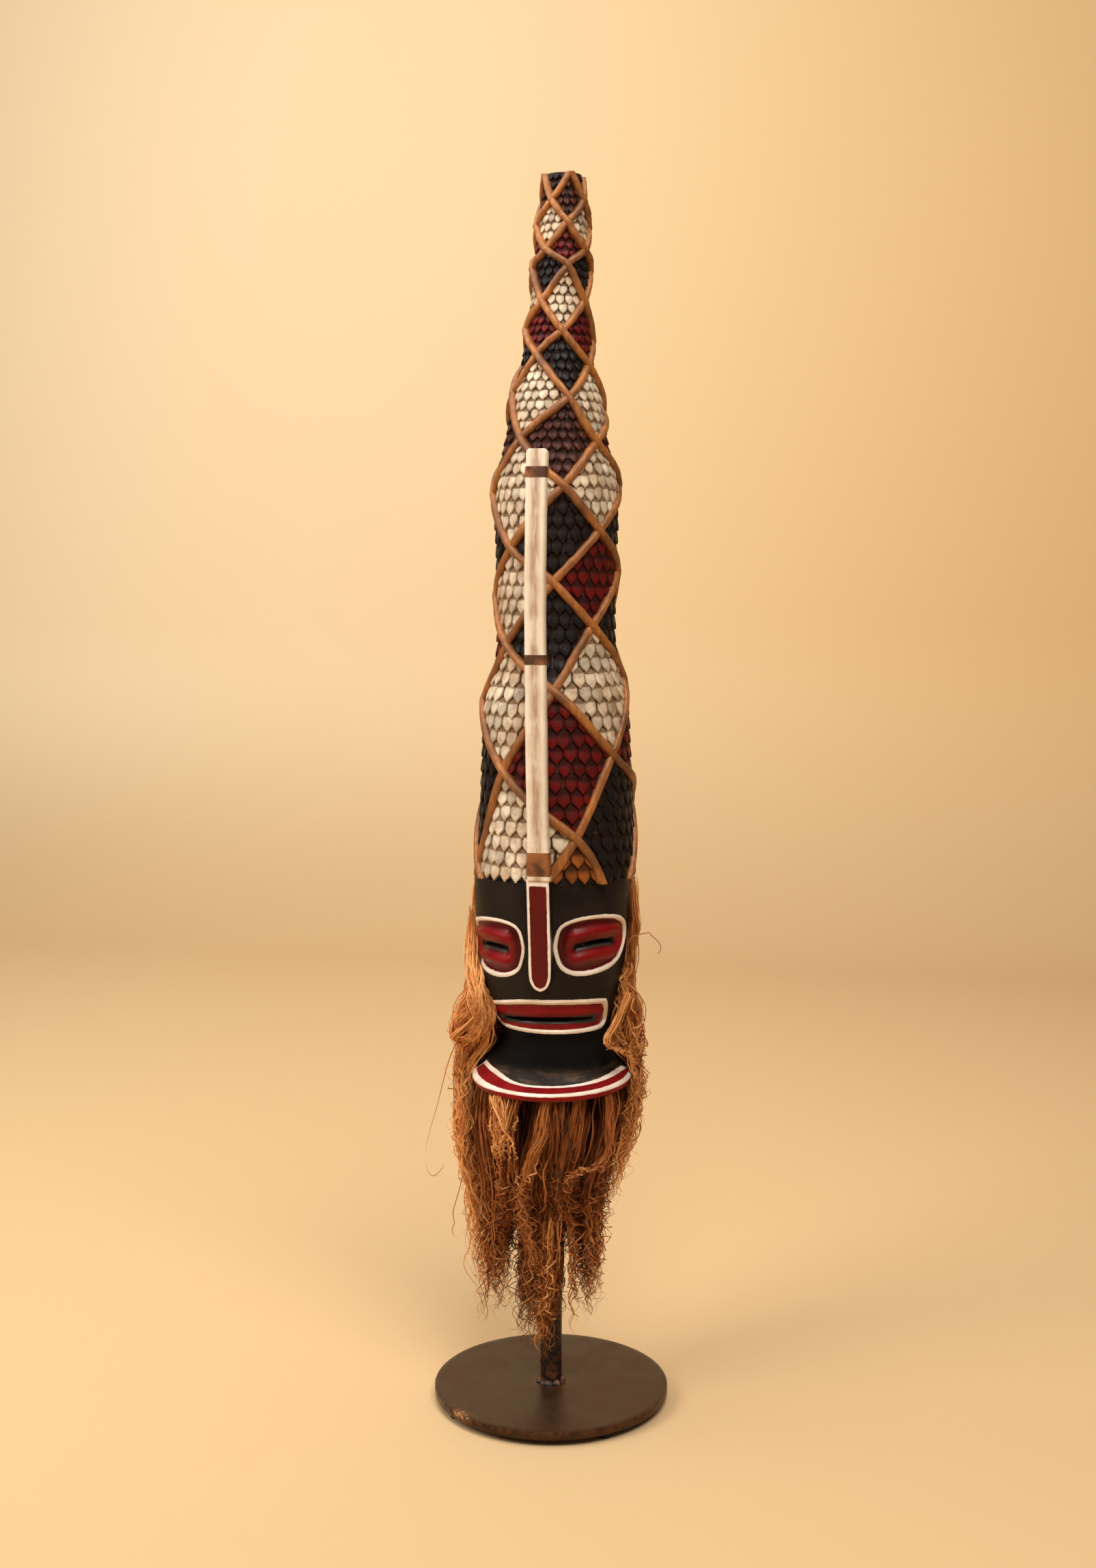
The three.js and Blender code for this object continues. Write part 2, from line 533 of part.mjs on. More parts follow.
// Hair: a thick curtain of locks round the back and sides, forward over the cheek on the left, ragged below.
function hair() {
  const value = (column) => profile(HAIR_ROWS, column);
  const [side, back, outer, outerX, leftEnd] = [1, 2, 3, 4, 5].map(value);
  const innerX = profile(HAIR_INNER_X);
  const lowest = HAIR_ROWS[0][0];
  const rings = HAIR_ROWS.map(([height], row) => {
    const azimuthOf = (j) => mix(HAIR_START, 360 - leftEnd(height), j / HAIR_LOCKS);
    // The lower edge is ragged, and hangs lower on the left.
    const level = (j) => {
      const foot = HAIR_FOOT + FOOT_SLOPE * Math.sin(rad(azimuthOf(j))) + FOOT_RAGGED * (spread(j) - 0.5);
      return height > FULL_FROM ? height : mix(foot, FULL_FROM, (height - lowest) / (FULL_FROM - lowest));
    };
    const inner = (j) => {
      const azimuth = azimuthOf(j);
      const behind = smooth((Math.min(azimuth, 360 - azimuth) - SIDE_TURN) / SIDE_SPREAD);
      const z = level(j);
      return around(azimuth, mix(side(z), back(z), behind), z, innerX(z));
    };
    const fluted = row > 0 && row < HAIR_ROWS.length - 1;
    const shift = height > FLUTES_SHIFT_FROM ? 1 : 0;
    const outside = (j) => {
      const groove = fluted && (j + shift) % 2 ? FLUTE : 0;
      return around(azimuthOf(j), outer(level(j)) - groove, level(j), outerX(level(j)));
    };
    const places = Array.from({ length: HAIR_LOCKS + 1 }, (_, j) => j);
    return [...places.map(outside), ...places.reverse().map(inner)];
  });
  return skin(rings, true);
}

// One tapering lock of the beard.
function lock({ top, foot, radiusTop, radiusFoot, sides, bands }) {
  const rings = [];
  for (let band = 0; band <= bands; band += 1) {
    const t = band / bands;
    const centre = new THREE.Vector3().lerpVectors(new THREE.Vector3(...foot), new THREE.Vector3(...top), t);
    const radius = mix(radiusFoot, radiusTop, Math.sin(t * Math.PI / 2) ** 1.1);
    const ring = [];
    for (let j = 0; j < sides; j += 1) {
      const turn = 360 * j / sides + 25 * t;
      ring.push(around(turn, radius * (j % 2 ? 0.9 : 1.04), centre.z, centre.x, centre.y));
    }
    rings.push(ring);
  }
  return toSolid(skin(rings));
}

// Beard: fills the space under the collar and ends in three hanging locks.
function beard() {
  const rings = BEARD_ROWS.map(([z, radius, x, y]) => Array.from({ length: BEARD_SIDES }, (_, j) => {
    const azimuth = 360 * j / BEARD_SIDES;
    const lift = z === BEARD_TOP ? -COLLAR_TILT * Math.cos(rad(azimuth)) : 0;
    return around(azimuth, radius - (j % 2 ? FLUTE : 0), z + lift, x, y);
  }));
  const whole = join([toSolid(skin(rings)), ...BEARD_LOCKS.map(lock)]);
  const bore = ROD_RADIUS + SOCKET_CLEARANCE;
  return toGeometry(whole.subtract(toSolid(turned([[0, 40], [bore, 40], [bore, 400], [0, 400]], ROD_SIDES))));
}

function rod() {
  return turned([[0, PLATE_TOP + GAP], [ROD_RADIUS, PLATE_TOP + GAP], [ROD_RADIUS, ROD_TOP - GAP],
    [0, ROD_TOP - GAP]], ROD_SIDES);
}

function plate() {
  const low = FOOT_HEIGHT;
  return turned([
    [0, low], [PLATE_RADIUS - PLATE_EDGE, low], [PLATE_RADIUS, low + PLATE_EDGE],
    [PLATE_RADIUS, PLATE_TOP - PLATE_EDGE], [PLATE_RADIUS - PLATE_EDGE, PLATE_TOP], [0, PLATE_TOP],
  ], 48);
}

function foot() {
  return turned([[0, 0], [FOOT_RADIUS - 1, 0], [FOOT_RADIUS, 1], [FOOT_RADIUS, FOOT_HEIGHT - GAP],
    [0, FOOT_HEIGHT - GAP]], 12);
}

const material = (color, roughness, metalness = 0) => (
  new THREE.MeshStandardMaterial({ color, roughness, metalness }));

const paintedWood = material(0x3a1a12, 0.6);
const raffia = material(0x9a5a24, 0.85);
const blackSteel = material(0x1c1a19, 0.45, 0.7);
const brownSteel = material(0x4a3526, 0.5, 0.5);
const rubber = material(0x15130f, 0.8);

const part = new THREE.Group();

function addPiece(name, geometry, finish) {
  const mesh = new THREE.Mesh(geometry, finish);
  mesh.name = name;
  part.add(mesh);
  return mesh;
}

addPiece('mask_carving', maskCarving(), paintedWood);
addPiece('raffia_hair', hair(), raffia);
addPiece('raffia_beard', beard(), raffia);
addPiece('stand_rod', rod(), blackSteel);
addPiece('stand_plate', plate(), brownSteel);

for (let index = 0; index < 4; index += 1) {
  const turn = FOOT_TURN + 90 * index;
  const piece = addPiece(`stand_foot_${index + 1}`, foot(), rubber);
  piece.position.copy(around(turn, FOOT_CIRCLE, 0, 0, 0));
}

export default part;
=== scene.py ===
# %% [markdown]
# # A tall painted mask on its steel stand
#
# The real object is one block of wood, carved into a narrow face with a very tall crown, painted black,
# dark red and cream, and hung with raffia. It stands on a steel rod that is welded on a round plate. The
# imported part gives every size. This lesson lays the fine carving, the paint and the fibres on it.

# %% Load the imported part
import math

import bmesh
import bpy
import numpy as np
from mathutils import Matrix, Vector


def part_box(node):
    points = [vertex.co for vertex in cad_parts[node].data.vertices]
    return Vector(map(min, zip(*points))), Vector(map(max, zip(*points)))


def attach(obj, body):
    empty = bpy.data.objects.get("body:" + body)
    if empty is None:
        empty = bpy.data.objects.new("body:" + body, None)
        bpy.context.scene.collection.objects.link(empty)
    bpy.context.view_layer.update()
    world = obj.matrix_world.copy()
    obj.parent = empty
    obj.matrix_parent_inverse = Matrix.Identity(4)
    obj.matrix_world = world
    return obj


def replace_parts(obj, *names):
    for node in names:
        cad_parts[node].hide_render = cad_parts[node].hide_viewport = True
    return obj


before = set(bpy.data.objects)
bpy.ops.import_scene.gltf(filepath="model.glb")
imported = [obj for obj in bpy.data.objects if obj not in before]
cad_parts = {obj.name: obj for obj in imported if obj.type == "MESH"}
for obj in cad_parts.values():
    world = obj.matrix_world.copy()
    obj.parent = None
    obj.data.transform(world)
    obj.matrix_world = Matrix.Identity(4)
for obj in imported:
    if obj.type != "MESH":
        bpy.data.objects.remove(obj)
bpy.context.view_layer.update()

# %% [markdown]
# ## Sizes
#
# Everything below is worked out in millimetres and turned into metres when a mesh is made. Heights and radii
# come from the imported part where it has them. The mask's own axis stands a little behind the rod.

# %% Sizes in millimetres
MM = 0.001


def node_box(node):
    """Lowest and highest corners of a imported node, in millimetres."""
    low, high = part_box(node)
    return np.array(low) / MM, np.array(high) / MM


MASK_X, MASK_Y = 4.0, 12.0       # the mask's axis
FACE_X = -1.0                    # the face's axis
CROWN_LEAN, LEAN_START = 8.0, 1150.0   # the top leans this far to the right, from this height up
MASK_TOP = node_box("mask_carving")[1][2]
CROWN_FOOT = 635.0
SCALE_PROUD = 3.4                # a scale's tip stands this far off the block under it
# Height and radius of the crown over the tips of its scales.
CROWN_PROFILE = [
    [500, 94], [637, 93.5], [700, 91], [780, 87.5], [836, 84.5], [870, 76], [905, 70], [965, 69],
    [1040, 71.5], [1090, 71], [1134, 60.5], [1180, 53.5], [1226, 42], [1285, 34.5], [1345, 31.5],
    [1395, 27], [1434, 22], [1510, 20],
]
# Rows of crossings of the raised lattice, top first: height, turn towards +X in degrees, and how much higher
# the row stands on the right than on the left.
LATTICE_ROWS = [
    [1500, 30, 0], [1466, 30, 0], [1436, 30, 0], [1404, 25, 0], [1378, 20, 0], [1349, 20, 0], [1330, 22, 0],
    [1292, 18, 0], [1257.5, 15, -6], [1226, 19, -8], [1182, 25, -8], [1135, 13, -3], [1083, 16, 6],
    [1024, 8, 13], [975, 7, 14], [915, 1, 15], [853, 8, 14], [771, 12, 13], [686, 24, 35], [585, 12, 12],
    [490, 12, 12],
]
ROW_TURN = 45.0                  # a strip winds this many degrees from one row to the next
print("mask top", round(MASK_TOP, 1), "mm; lattice rows", len(LATTICE_ROWS))

# %% [markdown]
# ## Points, smooth profiles and meshes
#
# Carved and turned things are easiest to describe by an azimuth, a radius and a height. A profile is a
# smooth curve through a few pairs of numbers. A pile gathers grids of points into one mesh, and lets every
# point carry marks, which are numbers that a material can read later, such as how far it lies from a
# painted line.

# %% Helpers for points
PROFILE_STEPS = 24               # straight pieces between two rows of a profile


def around(azimuth, radius, z, x=MASK_X, y=MASK_Y):
    """Points at an azimuth (degrees from the front towards +X), a radius and a height."""
    turn = np.radians(azimuth)
    parts = np.broadcast_arrays(x + radius * np.sin(turn), y - radius * np.cos(turn), z)
    return np.stack(parts, axis=-1).astype(float)


def profile(rows, column=1):
    """A smooth curve through [key, value, ...] rows, as a function that takes whole arrays."""
    rows = np.array([[row[0], row[column]] for row in rows], float)
    padded = np.vstack([rows[:1], rows, rows[-1:]])
    t = np.linspace(0, 1, PROFILE_STEPS, endpoint=False)[:, None]
    pieces = []
    for a, b, c, d in zip(padded, padded[1:], padded[2:], padded[3:]):
        first, last = (c - a) / 2, (d - b) / 2
        cubic = 2 * b - 2 * c + first + last
        pieces.append(cubic * t**3 + (3 * c - 3 * b - 2 * first - last) * t**2 + first * t + b)
    curve = np.vstack(pieces + [rows[-1:]])
    curve = curve[np.argsort(curve[:, 0])]
    return lambda key: np.interp(key, curve[:, 0], curve[:, 1])


def smooth(t):
    """A soft step from 0 to 1 while t goes from 0 to 1."""
    t = np.clip(t, 0, 1)
    return t * t * (3 - 2 * t)


def mix(a, b, t):
    return a + (b - a) * t


def wander(t, seed, waves=5):
    """A gentle random curve of about -1 to 1 along t, the same each time for a seed."""
    rng = np.random.default_rng(seed)
    total = np.zeros_like(np.asarray(t, float))
    for wave in range(1, waves + 1):
        total += np.sin(wave * t * rng.uniform(0.7, 1.3) + rng.uniform(0, 2 * math.pi)) / wave
    return total / 1.6


# %% Helpers for meshes
def grid_faces(rows, columns, closed):
    """Quads of a grid whose rows run up and whose columns run round to the right, seen from outside."""
    across = columns if closed else columns - 1
    i, j = np.meshgrid(np.arange(rows - 1), np.arange(across), indexing="ij")
    right = (j + 1) % columns
    corners = [i * columns + j, i * columns + right, (i + 1) * columns + right, (i + 1) * columns + j]
    return np.stack(corners, axis=-1).reshape(-1, 4)


def mark_points(mesh, **marks):
    """Stores numbers on the points of a mesh, under names that a material can read."""
    for name, values in marks.items():
        attribute = mesh.attributes.new(name, "FLOAT", "POINT")
        attribute.data.foreach_set("value", np.asarray(values, np.float32).ravel())


class Pile:
    """Grids of points that become one mesh, with marks on the points."""

    def __init__(self, *marks):
        self.points, self.faces, self.count = [], [], 0
        self.marks = {name: [] for name in marks}

    def add(self, grids, closed=False, caps=False, **marks):
        """Adds one grid or many of a size. Closed joins the last column to the first, caps close the ends."""
        grids = np.asarray(grids, float)
        grids = grids.reshape(-1, *grids.shape[-3:])
        number, rows, columns = grids.shape[:3]
        size = rows * columns
        starts = self.count + np.arange(number) * size
        quads = grid_faces(rows, columns, closed)[None] + starts[:, None, None]
        self.faces += quads.reshape(-1, 4).tolist()
        if caps:
            ring = np.arange(columns)
            for start in starts:
                self.faces += [(start + ring[::-1]).tolist(), (start + size - columns + ring).tolist()]
        for name, values in self.marks.items():
            values.append(np.broadcast_to(marks.get(name, 0.0), grids.shape[:3]).ravel())
        self.points.append(grids.reshape(-1, 3))
        self.count += number * size

    def mesh(self, name):
        made = bpy.data.meshes.new(name)
        made.from_pydata((np.vstack(self.points) * MM).tolist(), [], self.faces)
        made.shade_smooth()
        mark_points(made, **{mark: np.concatenate(values) for mark, values in self.marks.items()})
        return made

    def piece(self, name, material, slot):
        return place(bpy.data.objects.new(name, self.mesh(name)), material, slot)


# %% Helpers that place, turn and cut pieces
def place(piece, material, slot):
    """Puts a piece in the scene, on the part's one body, with its finish."""
    bpy.context.scene.collection.objects.link(piece)
    piece.data.materials.append(material)
    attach(piece, "root")
    triangles = sum(len(face.vertices) - 2 for face in piece.data.polygons)
    print(f"{piece.name}: {triangles} triangles")
    return piece


def lathe(pairs, sides, x=0.0, y=0.0):
    """A grid turned from [radius, height] pairs, lowest first."""
    radius, height = np.array(pairs, float).T
    return around(np.arange(sides) * 360 / sides, radius[:, None], height[:, None], x, y)


def cut_level(piece, height, keep_below):
    """Saws a piece off level and closes the cut."""
    shape = bmesh.new()
    shape.from_mesh(piece.data)
    cut = bmesh.ops.bisect_plane(
        shape, geom=shape.verts[:] + shape.edges[:] + shape.faces[:], plane_co=(0, 0, height * MM),
        plane_no=(0, 0, 1), clear_outer=keep_below, clear_inner=not keep_below)
    edges = [item for item in cut["geom_cut"] if isinstance(item, bmesh.types.BMEdge)]
    bmesh.ops.holes_fill(shape, edges=edges, sides=0)
    shape.to_mesh(piece.data)
    shape.free()


# %% [markdown]
# ## Shared paint effects
#
# Old hand paint is never even. Three effects return on most pieces, so each is a shader node group with
# named sockets: a brushed unevenness, wood grain that runs along the height, and dust that settles on what
# faces up. A group gives out masks and heights only, and every material mixes them in with its own values.

# %% Node helpers
def fill(tree, inputs, values):
    """Links each value that is a socket to its input. Any other value is set on the input itself."""
    for socket, value in values.items():
        if isinstance(value, bpy.types.NodeSocket):
            tree.links.new(value, inputs[socket])
        else:
            inputs[socket].default_value = value


def put(tree, kind, values=None, **settings):
    """Adds a node, with settings of its own and values for its inputs."""
    made = tree.nodes.new(kind)
    for setting, value in settings.items():
        setattr(made, setting, value)
    fill(tree, made.inputs, values or {})
    return made


def sums(tree, operation, first, second, third=0.5):
    """One step of arithmetic with values that change over the surface."""
    return put(tree, "ShaderNodeMath", {0: first, 1: second, 2: third}, operation=operation).outputs[0]


def times(tree, first, second):
    return sums(tree, "MULTIPLY", first, second)


def ramp(tree, value, low, high, to_low=0.0, to_high=1.0):
    """A soft step from to_low to to_high while the value goes from low to high."""
    made = put(tree, "ShaderNodeMapRange", {
        "Value": value, "From Min": low, "From Max": high, "To Min": to_low, "To Max": to_high},
        interpolation_type="SMOOTHSTEP")
    return made.outputs["Result"]


def blend(tree, share, first, second):
    """Goes from the first colour to the second as the share goes from 0 to 1."""
    return put(tree, "ShaderNodeMix", {0: share, 6: first, 7: second}, data_type="RGBA").outputs[2]


def own_place(tree):
    """Where a point lies in its own object, in metres."""
    return put(tree, "ShaderNodeTexCoord").outputs["Object"]


def squeezed(tree, where, height_scale):
    """The same places with their heights scaled, which draws a noise out along or across the height."""
    made = put(tree, "ShaderNodeMapping", {"Vector": where, "Scale": (1.0, 1.0, height_scale)})
    return made.outputs["Vector"]


def noise(tree, where, scale, detail=4.0, rough=0.55):
    made = put(tree, "ShaderNodeTexNoise", {
        "Vector": where, "Scale": scale, "Detail": detail, "Roughness": rough})
    return made.outputs["Fac"]


def mark(tree, name, output="Fac"):
    """What the points of the mesh carry under a name."""
    return put(tree, "ShaderNodeAttribute", attribute_name=name, attribute_type="GEOMETRY").outputs[output]


def bump(tree, height, strength, distance):
    made = put(tree, "ShaderNodeBump", {"Strength": strength, "Distance": distance, "Height": height})
    return made.outputs["Normal"]


def colour(code):
    """A colour written as on a paint chart, RRGGBB, in the linear values that Blender works in."""
    parts = [int(code[n:n + 2], 16) / 255 for n in (0, 2, 4)]
    linear = [part / 12.92 if part <= 0.04045 else ((part + 0.055) / 1.055) ** 2.4 for part in parts]
    return (*linear, 1.0)


# %% The three shared effects
def new_group(name, inputs, outputs):
    """A node group. Inputs are given by name, kind and value, outputs by name and kind."""
    tree = bpy.data.node_groups.new(name, "ShaderNodeTree")
    for socket, kind, value in inputs:
        made = tree.interface.new_socket(socket, in_out="INPUT", socket_type=f"NodeSocket{kind}")
        made.default_value = value
    for socket, kind in outputs:
        tree.interface.new_socket(socket, in_out="OUTPUT", socket_type=f"NodeSocket{kind}")
    start = tree.nodes.new("NodeGroupInput")
    end = tree.nodes.new("NodeGroupOutput")
    return tree, start.outputs, end.inputs


def brushed_group():
    tree, inside, out = new_group(
        "brushed paint", [("Scale", "Float", 60.0)], [("Patches", "Float"), ("Height", "Float")])
    where = own_place(tree)
    broad = noise(tree, where, inside["Scale"])
    fine = noise(tree, where, times(tree, inside["Scale"], 7.0), 3.0)
    fill(tree, out, {
        "Patches": ramp(tree, broad, 0.35, 0.68),
        "Height": sums(tree, "MULTIPLY_ADD", fine, 0.5, times(tree, broad, 0.5)),
    })
    return tree


def grain_group():
    tree, inside, out = new_group(
        "wood grain", [("Scale", "Float", 40.0)],
        [("Grain", "Float"), ("Patches", "Float"), ("Height", "Float")])
    where = own_place(tree)
    lines = noise(tree, squeezed(tree, where, 0.12), times(tree, inside["Scale"], 8.0), 5.0, 0.65)
    broad = noise(tree, where, inside["Scale"], 3.0)
    fill(tree, out, {
        "Grain": ramp(tree, lines, 0.3, 0.7),
        "Patches": ramp(tree, broad, 0.4, 0.62),
        "Height": sums(tree, "MULTIPLY_ADD", lines, 0.6, times(tree, broad, 0.4)),
    })
    return tree


def dust_group():
    tree, inside, out = new_group("dust", [("Amount", "Float", 0.2)], [("Dust", "Float")])
    normal = put(tree, "ShaderNodeNewGeometry").outputs["Normal"]
    up = put(tree, "ShaderNodeSeparateXYZ", {0: normal}).outputs["Z"]
    patchy = ramp(tree, noise(tree, own_place(tree), 90.0), 0.3, 0.75, 0.3, 1.0)
    facing = ramp(tree, up, 0.1, 0.95)
    fill(tree, out, {"Dust": times(tree, times(tree, facing, patchy), inside["Amount"])})
    return tree


BRUSHED, GRAIN, DUST = brushed_group(), grain_group(), dust_group()
DUST_COLOUR = colour("b9a58c")
print("node groups:", [group.name for group in (BRUSHED, GRAIN, DUST)])


# %% Helpers for materials
def use(tree, group, **values):
    """Places a node group in a material, with the material's own values."""
    return put(tree, "ShaderNodeGroup", values, node_tree=group).outputs


def dusty(tree, paint, amount):
    """A paint with dust on whatever of it faces up."""
    return blend(tree, use(tree, DUST, Amount=amount)["Dust"], paint, DUST_COLOUR)


def new_material(name):
    made = bpy.data.materials.new(name)
    made.use_nodes = True
    tree = made.node_tree
    return made, tree, tree.nodes["Principled BSDF"].inputs


# %% [markdown]
# ## The paints of the crown
#
# The scales of each diamond are painted in one colour: cream, black, dark red, a brown red, or left as
# wood. The colour is carried by the points of the mesh, because a painter stops at the raised strips. The
# material adds what age has done, and cream has yellowed in patches. It also darkens the root of each
# scale and the gaps beside it, with grime and painted shade.

# %% Scale paint
PAINTS = {
    "W": colour("e8d6ba"), "K": colour("1c1917"), "R": colour("6a1310"), "M": colour("4c2416"),
    "B": colour("9a5420"),
}


def scale_paint():
    made, tree, sockets = new_material("scale paint")
    paint = mark(tree, "paint", "Color")
    # Cream ages otherwise than the dark paints do, so this mask picks it out.
    pale = ramp(tree, put(tree, "ShaderNodeSeparateColor", {0: paint}).outputs["Red"], 0.3, 0.5)
    brushed = use(tree, BRUSHED, Scale=85.0)
    yellowed = times(tree, ramp(tree, noise(tree, own_place(tree), 22.0, 5.0, 0.7), 0.42, 0.62), pale)
    aged = blend(tree, times(tree, yellowed, 0.5), paint, colour("b98d5c"))
    stain = blend(tree, pale, colour("2a1c16"), colour("5d3c26"))
    varied = blend(tree, times(tree, brushed["Patches"], 0.4), aged, stain)
    darker = blend(tree, pale, colour("180e0a"), colour("3b2416"))
    toned = blend(tree, ramp(tree, mark(tree, "tone"), 0.0, 1.0, 0.0, 0.4), varied, darker)
    # Grime and painted shade darken the root of each scale and the gaps beside it. On cream this is a thin
    # dark line at the root. On the dark paints it reaches far down the scale.
    down = mark(tree, "down")
    root = blend(tree, pale, ramp(tree, down, 0.6, 0.3), ramp(tree, down, 0.35, 0.25))
    gap_grime_and_shade = sums(tree, "MAXIMUM", root, ramp(tree, mark(tree, "side"), 0.85, 1.0, 0.0, 0.55))
    grime_and_shade_colour = blend(tree, pale, colour("1c0b07"), colour("6b4a2b"))
    grimed_and_shaded = blend(tree, times(tree, gap_grime_and_shade, 0.82), toned, grime_and_shade_colour)
    rough = sums(tree, "MULTIPLY_ADD", pale, 0.25, ramp(tree, brushed["Patches"], 0.0, 1.0, 0.26, 0.42))
    fill(tree, sockets, {
        "Base Color": dusty(tree, grimed_and_shaded, 0.008),
        "Roughness": sums(tree, "MULTIPLY_ADD", gap_grime_and_shade, 0.45, rough),
        "Normal": bump(tree, brushed["Height"], 0.5, 0.0012),
        "Specular IOR Level": 0.13,
    })
    return made


SCALE_PAINT = scale_paint()
print("paints of the scales:", len(PAINTS))

# %% [markdown]
# ## Bare wood
#
# The raised strips of the lattice, and the bands on the bar, are bare wood, darkened by hands to an orange
# brown. Grain runs along the height, and dark patches are where stain and old varnish have stayed.

# %% Strip wood
def bare_wood(name, light, dark, stain):
    made, tree, sockets = new_material(name)
    grain = use(tree, GRAIN, Scale=26.0)
    patches = use(tree, BRUSHED, Scale=24.0)["Patches"]
    wood = blend(tree, grain["Grain"], light, dark)
    fill(tree, sockets, {
        "Base Color": dusty(tree, blend(tree, times(tree, patches, 0.75), wood, stain), 0.03),
        "Roughness": ramp(tree, grain["Grain"], 0.0, 1.0, 0.4, 0.58),
        "Normal": bump(tree, grain["Height"], 0.4, 0.001),
    })
    return made


STRIP_WOOD = bare_wood("strip wood", colour("b3702f"), colour("8e521f"), colour("56321a"))
# The block shows only in the gaps between the scales, so its wood is dark with grime and painted shade.
GRIMED_SHADED_BLOCK_WOOD = bare_wood("block wood with grime and painted shade", colour("4a2a16"), colour("2c180d"), colour("1c110a"))

# %% [markdown]
# ## The crown: block, scales and lattice
#
# A carver would cut the lattice free first, and then notch the scales row by row inside each diamond. Here
# a plain turned block comes first. Each scale is a small domed tongue laid on it, in staggered rows that
# shrink towards the top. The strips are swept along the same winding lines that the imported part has, and
# one family of strips passes over the other.

# %% The winding lines
crown_radius = profile(CROWN_PROFILE)
row_numbers = [[number, *row] for number, row in enumerate(LATTICE_ROWS)]
row_height = profile(row_numbers, 1)
row_turn = profile(row_numbers, 2)
row_tilt = profile(row_numbers, 3)


def crown_axis(z):
    return MASK_X + CROWN_LEAN * smooth((z - LEAN_START) / (MASK_TOP - LEAN_START))


def on_crown(azimuth, lift, z):
    return around(azimuth, crown_radius(z) + lift, z, crown_axis(z))


def lattice_point(row, column, lift=0.0):
    z = row_height(row) + row_tilt(row) * np.sin(np.radians(ROW_TURN * column))
    return on_crown(row_turn(row) + ROW_TURN * column, lift, z)


def lattice_place(azimuth, z):
    """The row and column of a place on the crown, the other way round from lattice_point."""
    rows = np.linspace(0, len(LATTICE_ROWS) - 1, 800)
    heights = row_height(rows)
    column = np.zeros_like(np.asarray(azimuth, float))
    for _ in range(6):
        level = z - row_tilt(np.interp(-z, -heights, rows)) * np.sin(np.radians(ROW_TURN * column))
        row = np.interp(-level, -heights, rows)
        column = (azimuth - row_turn(row)) / ROW_TURN
    return row, column


# %% The block under the scales
LIP = 1.5                        # the block keeps its full width for this far at its flat top
LIP_SUNK, BLOCK_SUNK = 1.2, 0.4  # depth under the crown's profile there, and below it under the scales' roots
BLOCK_FOOT, BLOCK_STEP, BLOCK_SIDES = 650.0, 6.0, 72
lip_start = MASK_TOP - LIP
block_heights = np.append(
    np.arange(BLOCK_FOOT, lip_start, BLOCK_STEP), [lip_start - 0.01, lip_start, MASK_TOP])
block_lift = np.where(block_heights >= lip_start, -LIP_SUNK, -SCALE_PROUD - BLOCK_SUNK)
block_turns = np.arange(BLOCK_SIDES) * 360 / BLOCK_SIDES
block = Pile()
block.add(on_crown(block_turns[None], block_lift[:, None], block_heights[:, None]), closed=True, caps=True)
crown_block = block.piece("crown_block", GRIMED_SHADED_BLOCK_WOOD, "painted_wood")

# %% Sizes of the scales
# Distance between two rows of scales and room for one scale, from the foot of the crown to its top.
scale_pitch = profile([[635, 17.3], [900, 16.5], [1060, 15], [1120, 12], [1200, 11], [1440, 9.4]])
scale_width = profile([[635, 16.4], [900, 15.6], [1060, 13.5], [1200, 11.4], [1440, 8.8]])
# Paint of the diamonds, read down each column of the lattice from the top. Column 0 is the front, 2 the
# right side, 4 the back and 6 the left side.
DIAMONDS = [
    "MMRWKMKKRB", "KWKRWWRWKK", "MMWRKRKKRK", "KWRKWRWKWW",
    "MMKWRKWRKR", "KWKRWKRWKK", "MMRWKMKRKW", "KWKRWWWWWW",
]
# How far a scale strays sideways and up, as a part of the distance to the next one.
STRAY_ASIDE, STRAY_UP = 0.09, 0.045
# The form of a scale. Its length and the curve of its lower edge are parts of the distance between two rows,
# and its width is a part of the room it has. Its tip narrows over the last part of the length.
SCALE_LENGTH, EDGE_CURVE, SCALE_WIDTH = 1.42, 0.12, 0.97
TIP_FROM, TIP_NARROW, TIP_ROUND = 0.72, 0.78, 1.35
DOME, DOME_PITCH = 1.2, 17       # height of its dome, where the rows are this far apart
ROOT_DEPTH = SCALE_PROUD + 0.7   # its root lies this deep
EDGE_DROP, EDGE_DEPTH = 0.5, SCALE_PROUD + 0.6   # its edges turn down by this, and at least so deep
TIP_DROP, TIP_DROP_FROM = 0.6, 0.85              # its tip bends down again, over the last part of the length


# %% Where the scales sit, and their paint
def paint_at(azimuth, z):
    """The paint of the diamond that a place lies in."""
    row, column = lattice_place(azimuth, z)
    p, q = np.floor((row + column) / 2), np.floor((row - column) / 2)
    middle = ((p - q) % len(DIAMONDS)).astype(int)
    index = (p + q + 1 - np.where(middle % 2 == 0, 1, 2)) // 2
    index = np.clip(index, 0, len(DIAMONDS[0]) - 1).astype(int)
    table = np.array([[PAINTS[letter] for letter in paints] for paints in DIAMONDS])
    return table[middle, index]


def scale_rows():
    """Every scale as a row of numbers: azimuth and height of its tip, half width in degrees, length."""
    rng = np.random.default_rng(11)
    found = []
    tip, number = CROWN_FOOT, 0
    while tip < MASK_TOP - 1.0:
        pitch = float(scale_pitch(tip))
        radius = float(crown_radius(tip + pitch / 2))
        count = round(2 * math.pi * radius / float(scale_width(tip)))
        step = 360 / count
        stray = rng.uniform(-STRAY_ASIDE, STRAY_ASIDE, count)
        azimuth = (np.arange(count) + 0.5 * (number % 2) + stray) * step
        level = tip + rng.normal(0, STRAY_UP, count) * pitch * (number > 0)
        found.append(np.stack([azimuth, level, np.full(count, step * 0.5), np.full(count, pitch)], axis=1))
        tip += pitch
        number += 1
    return np.vstack(found)


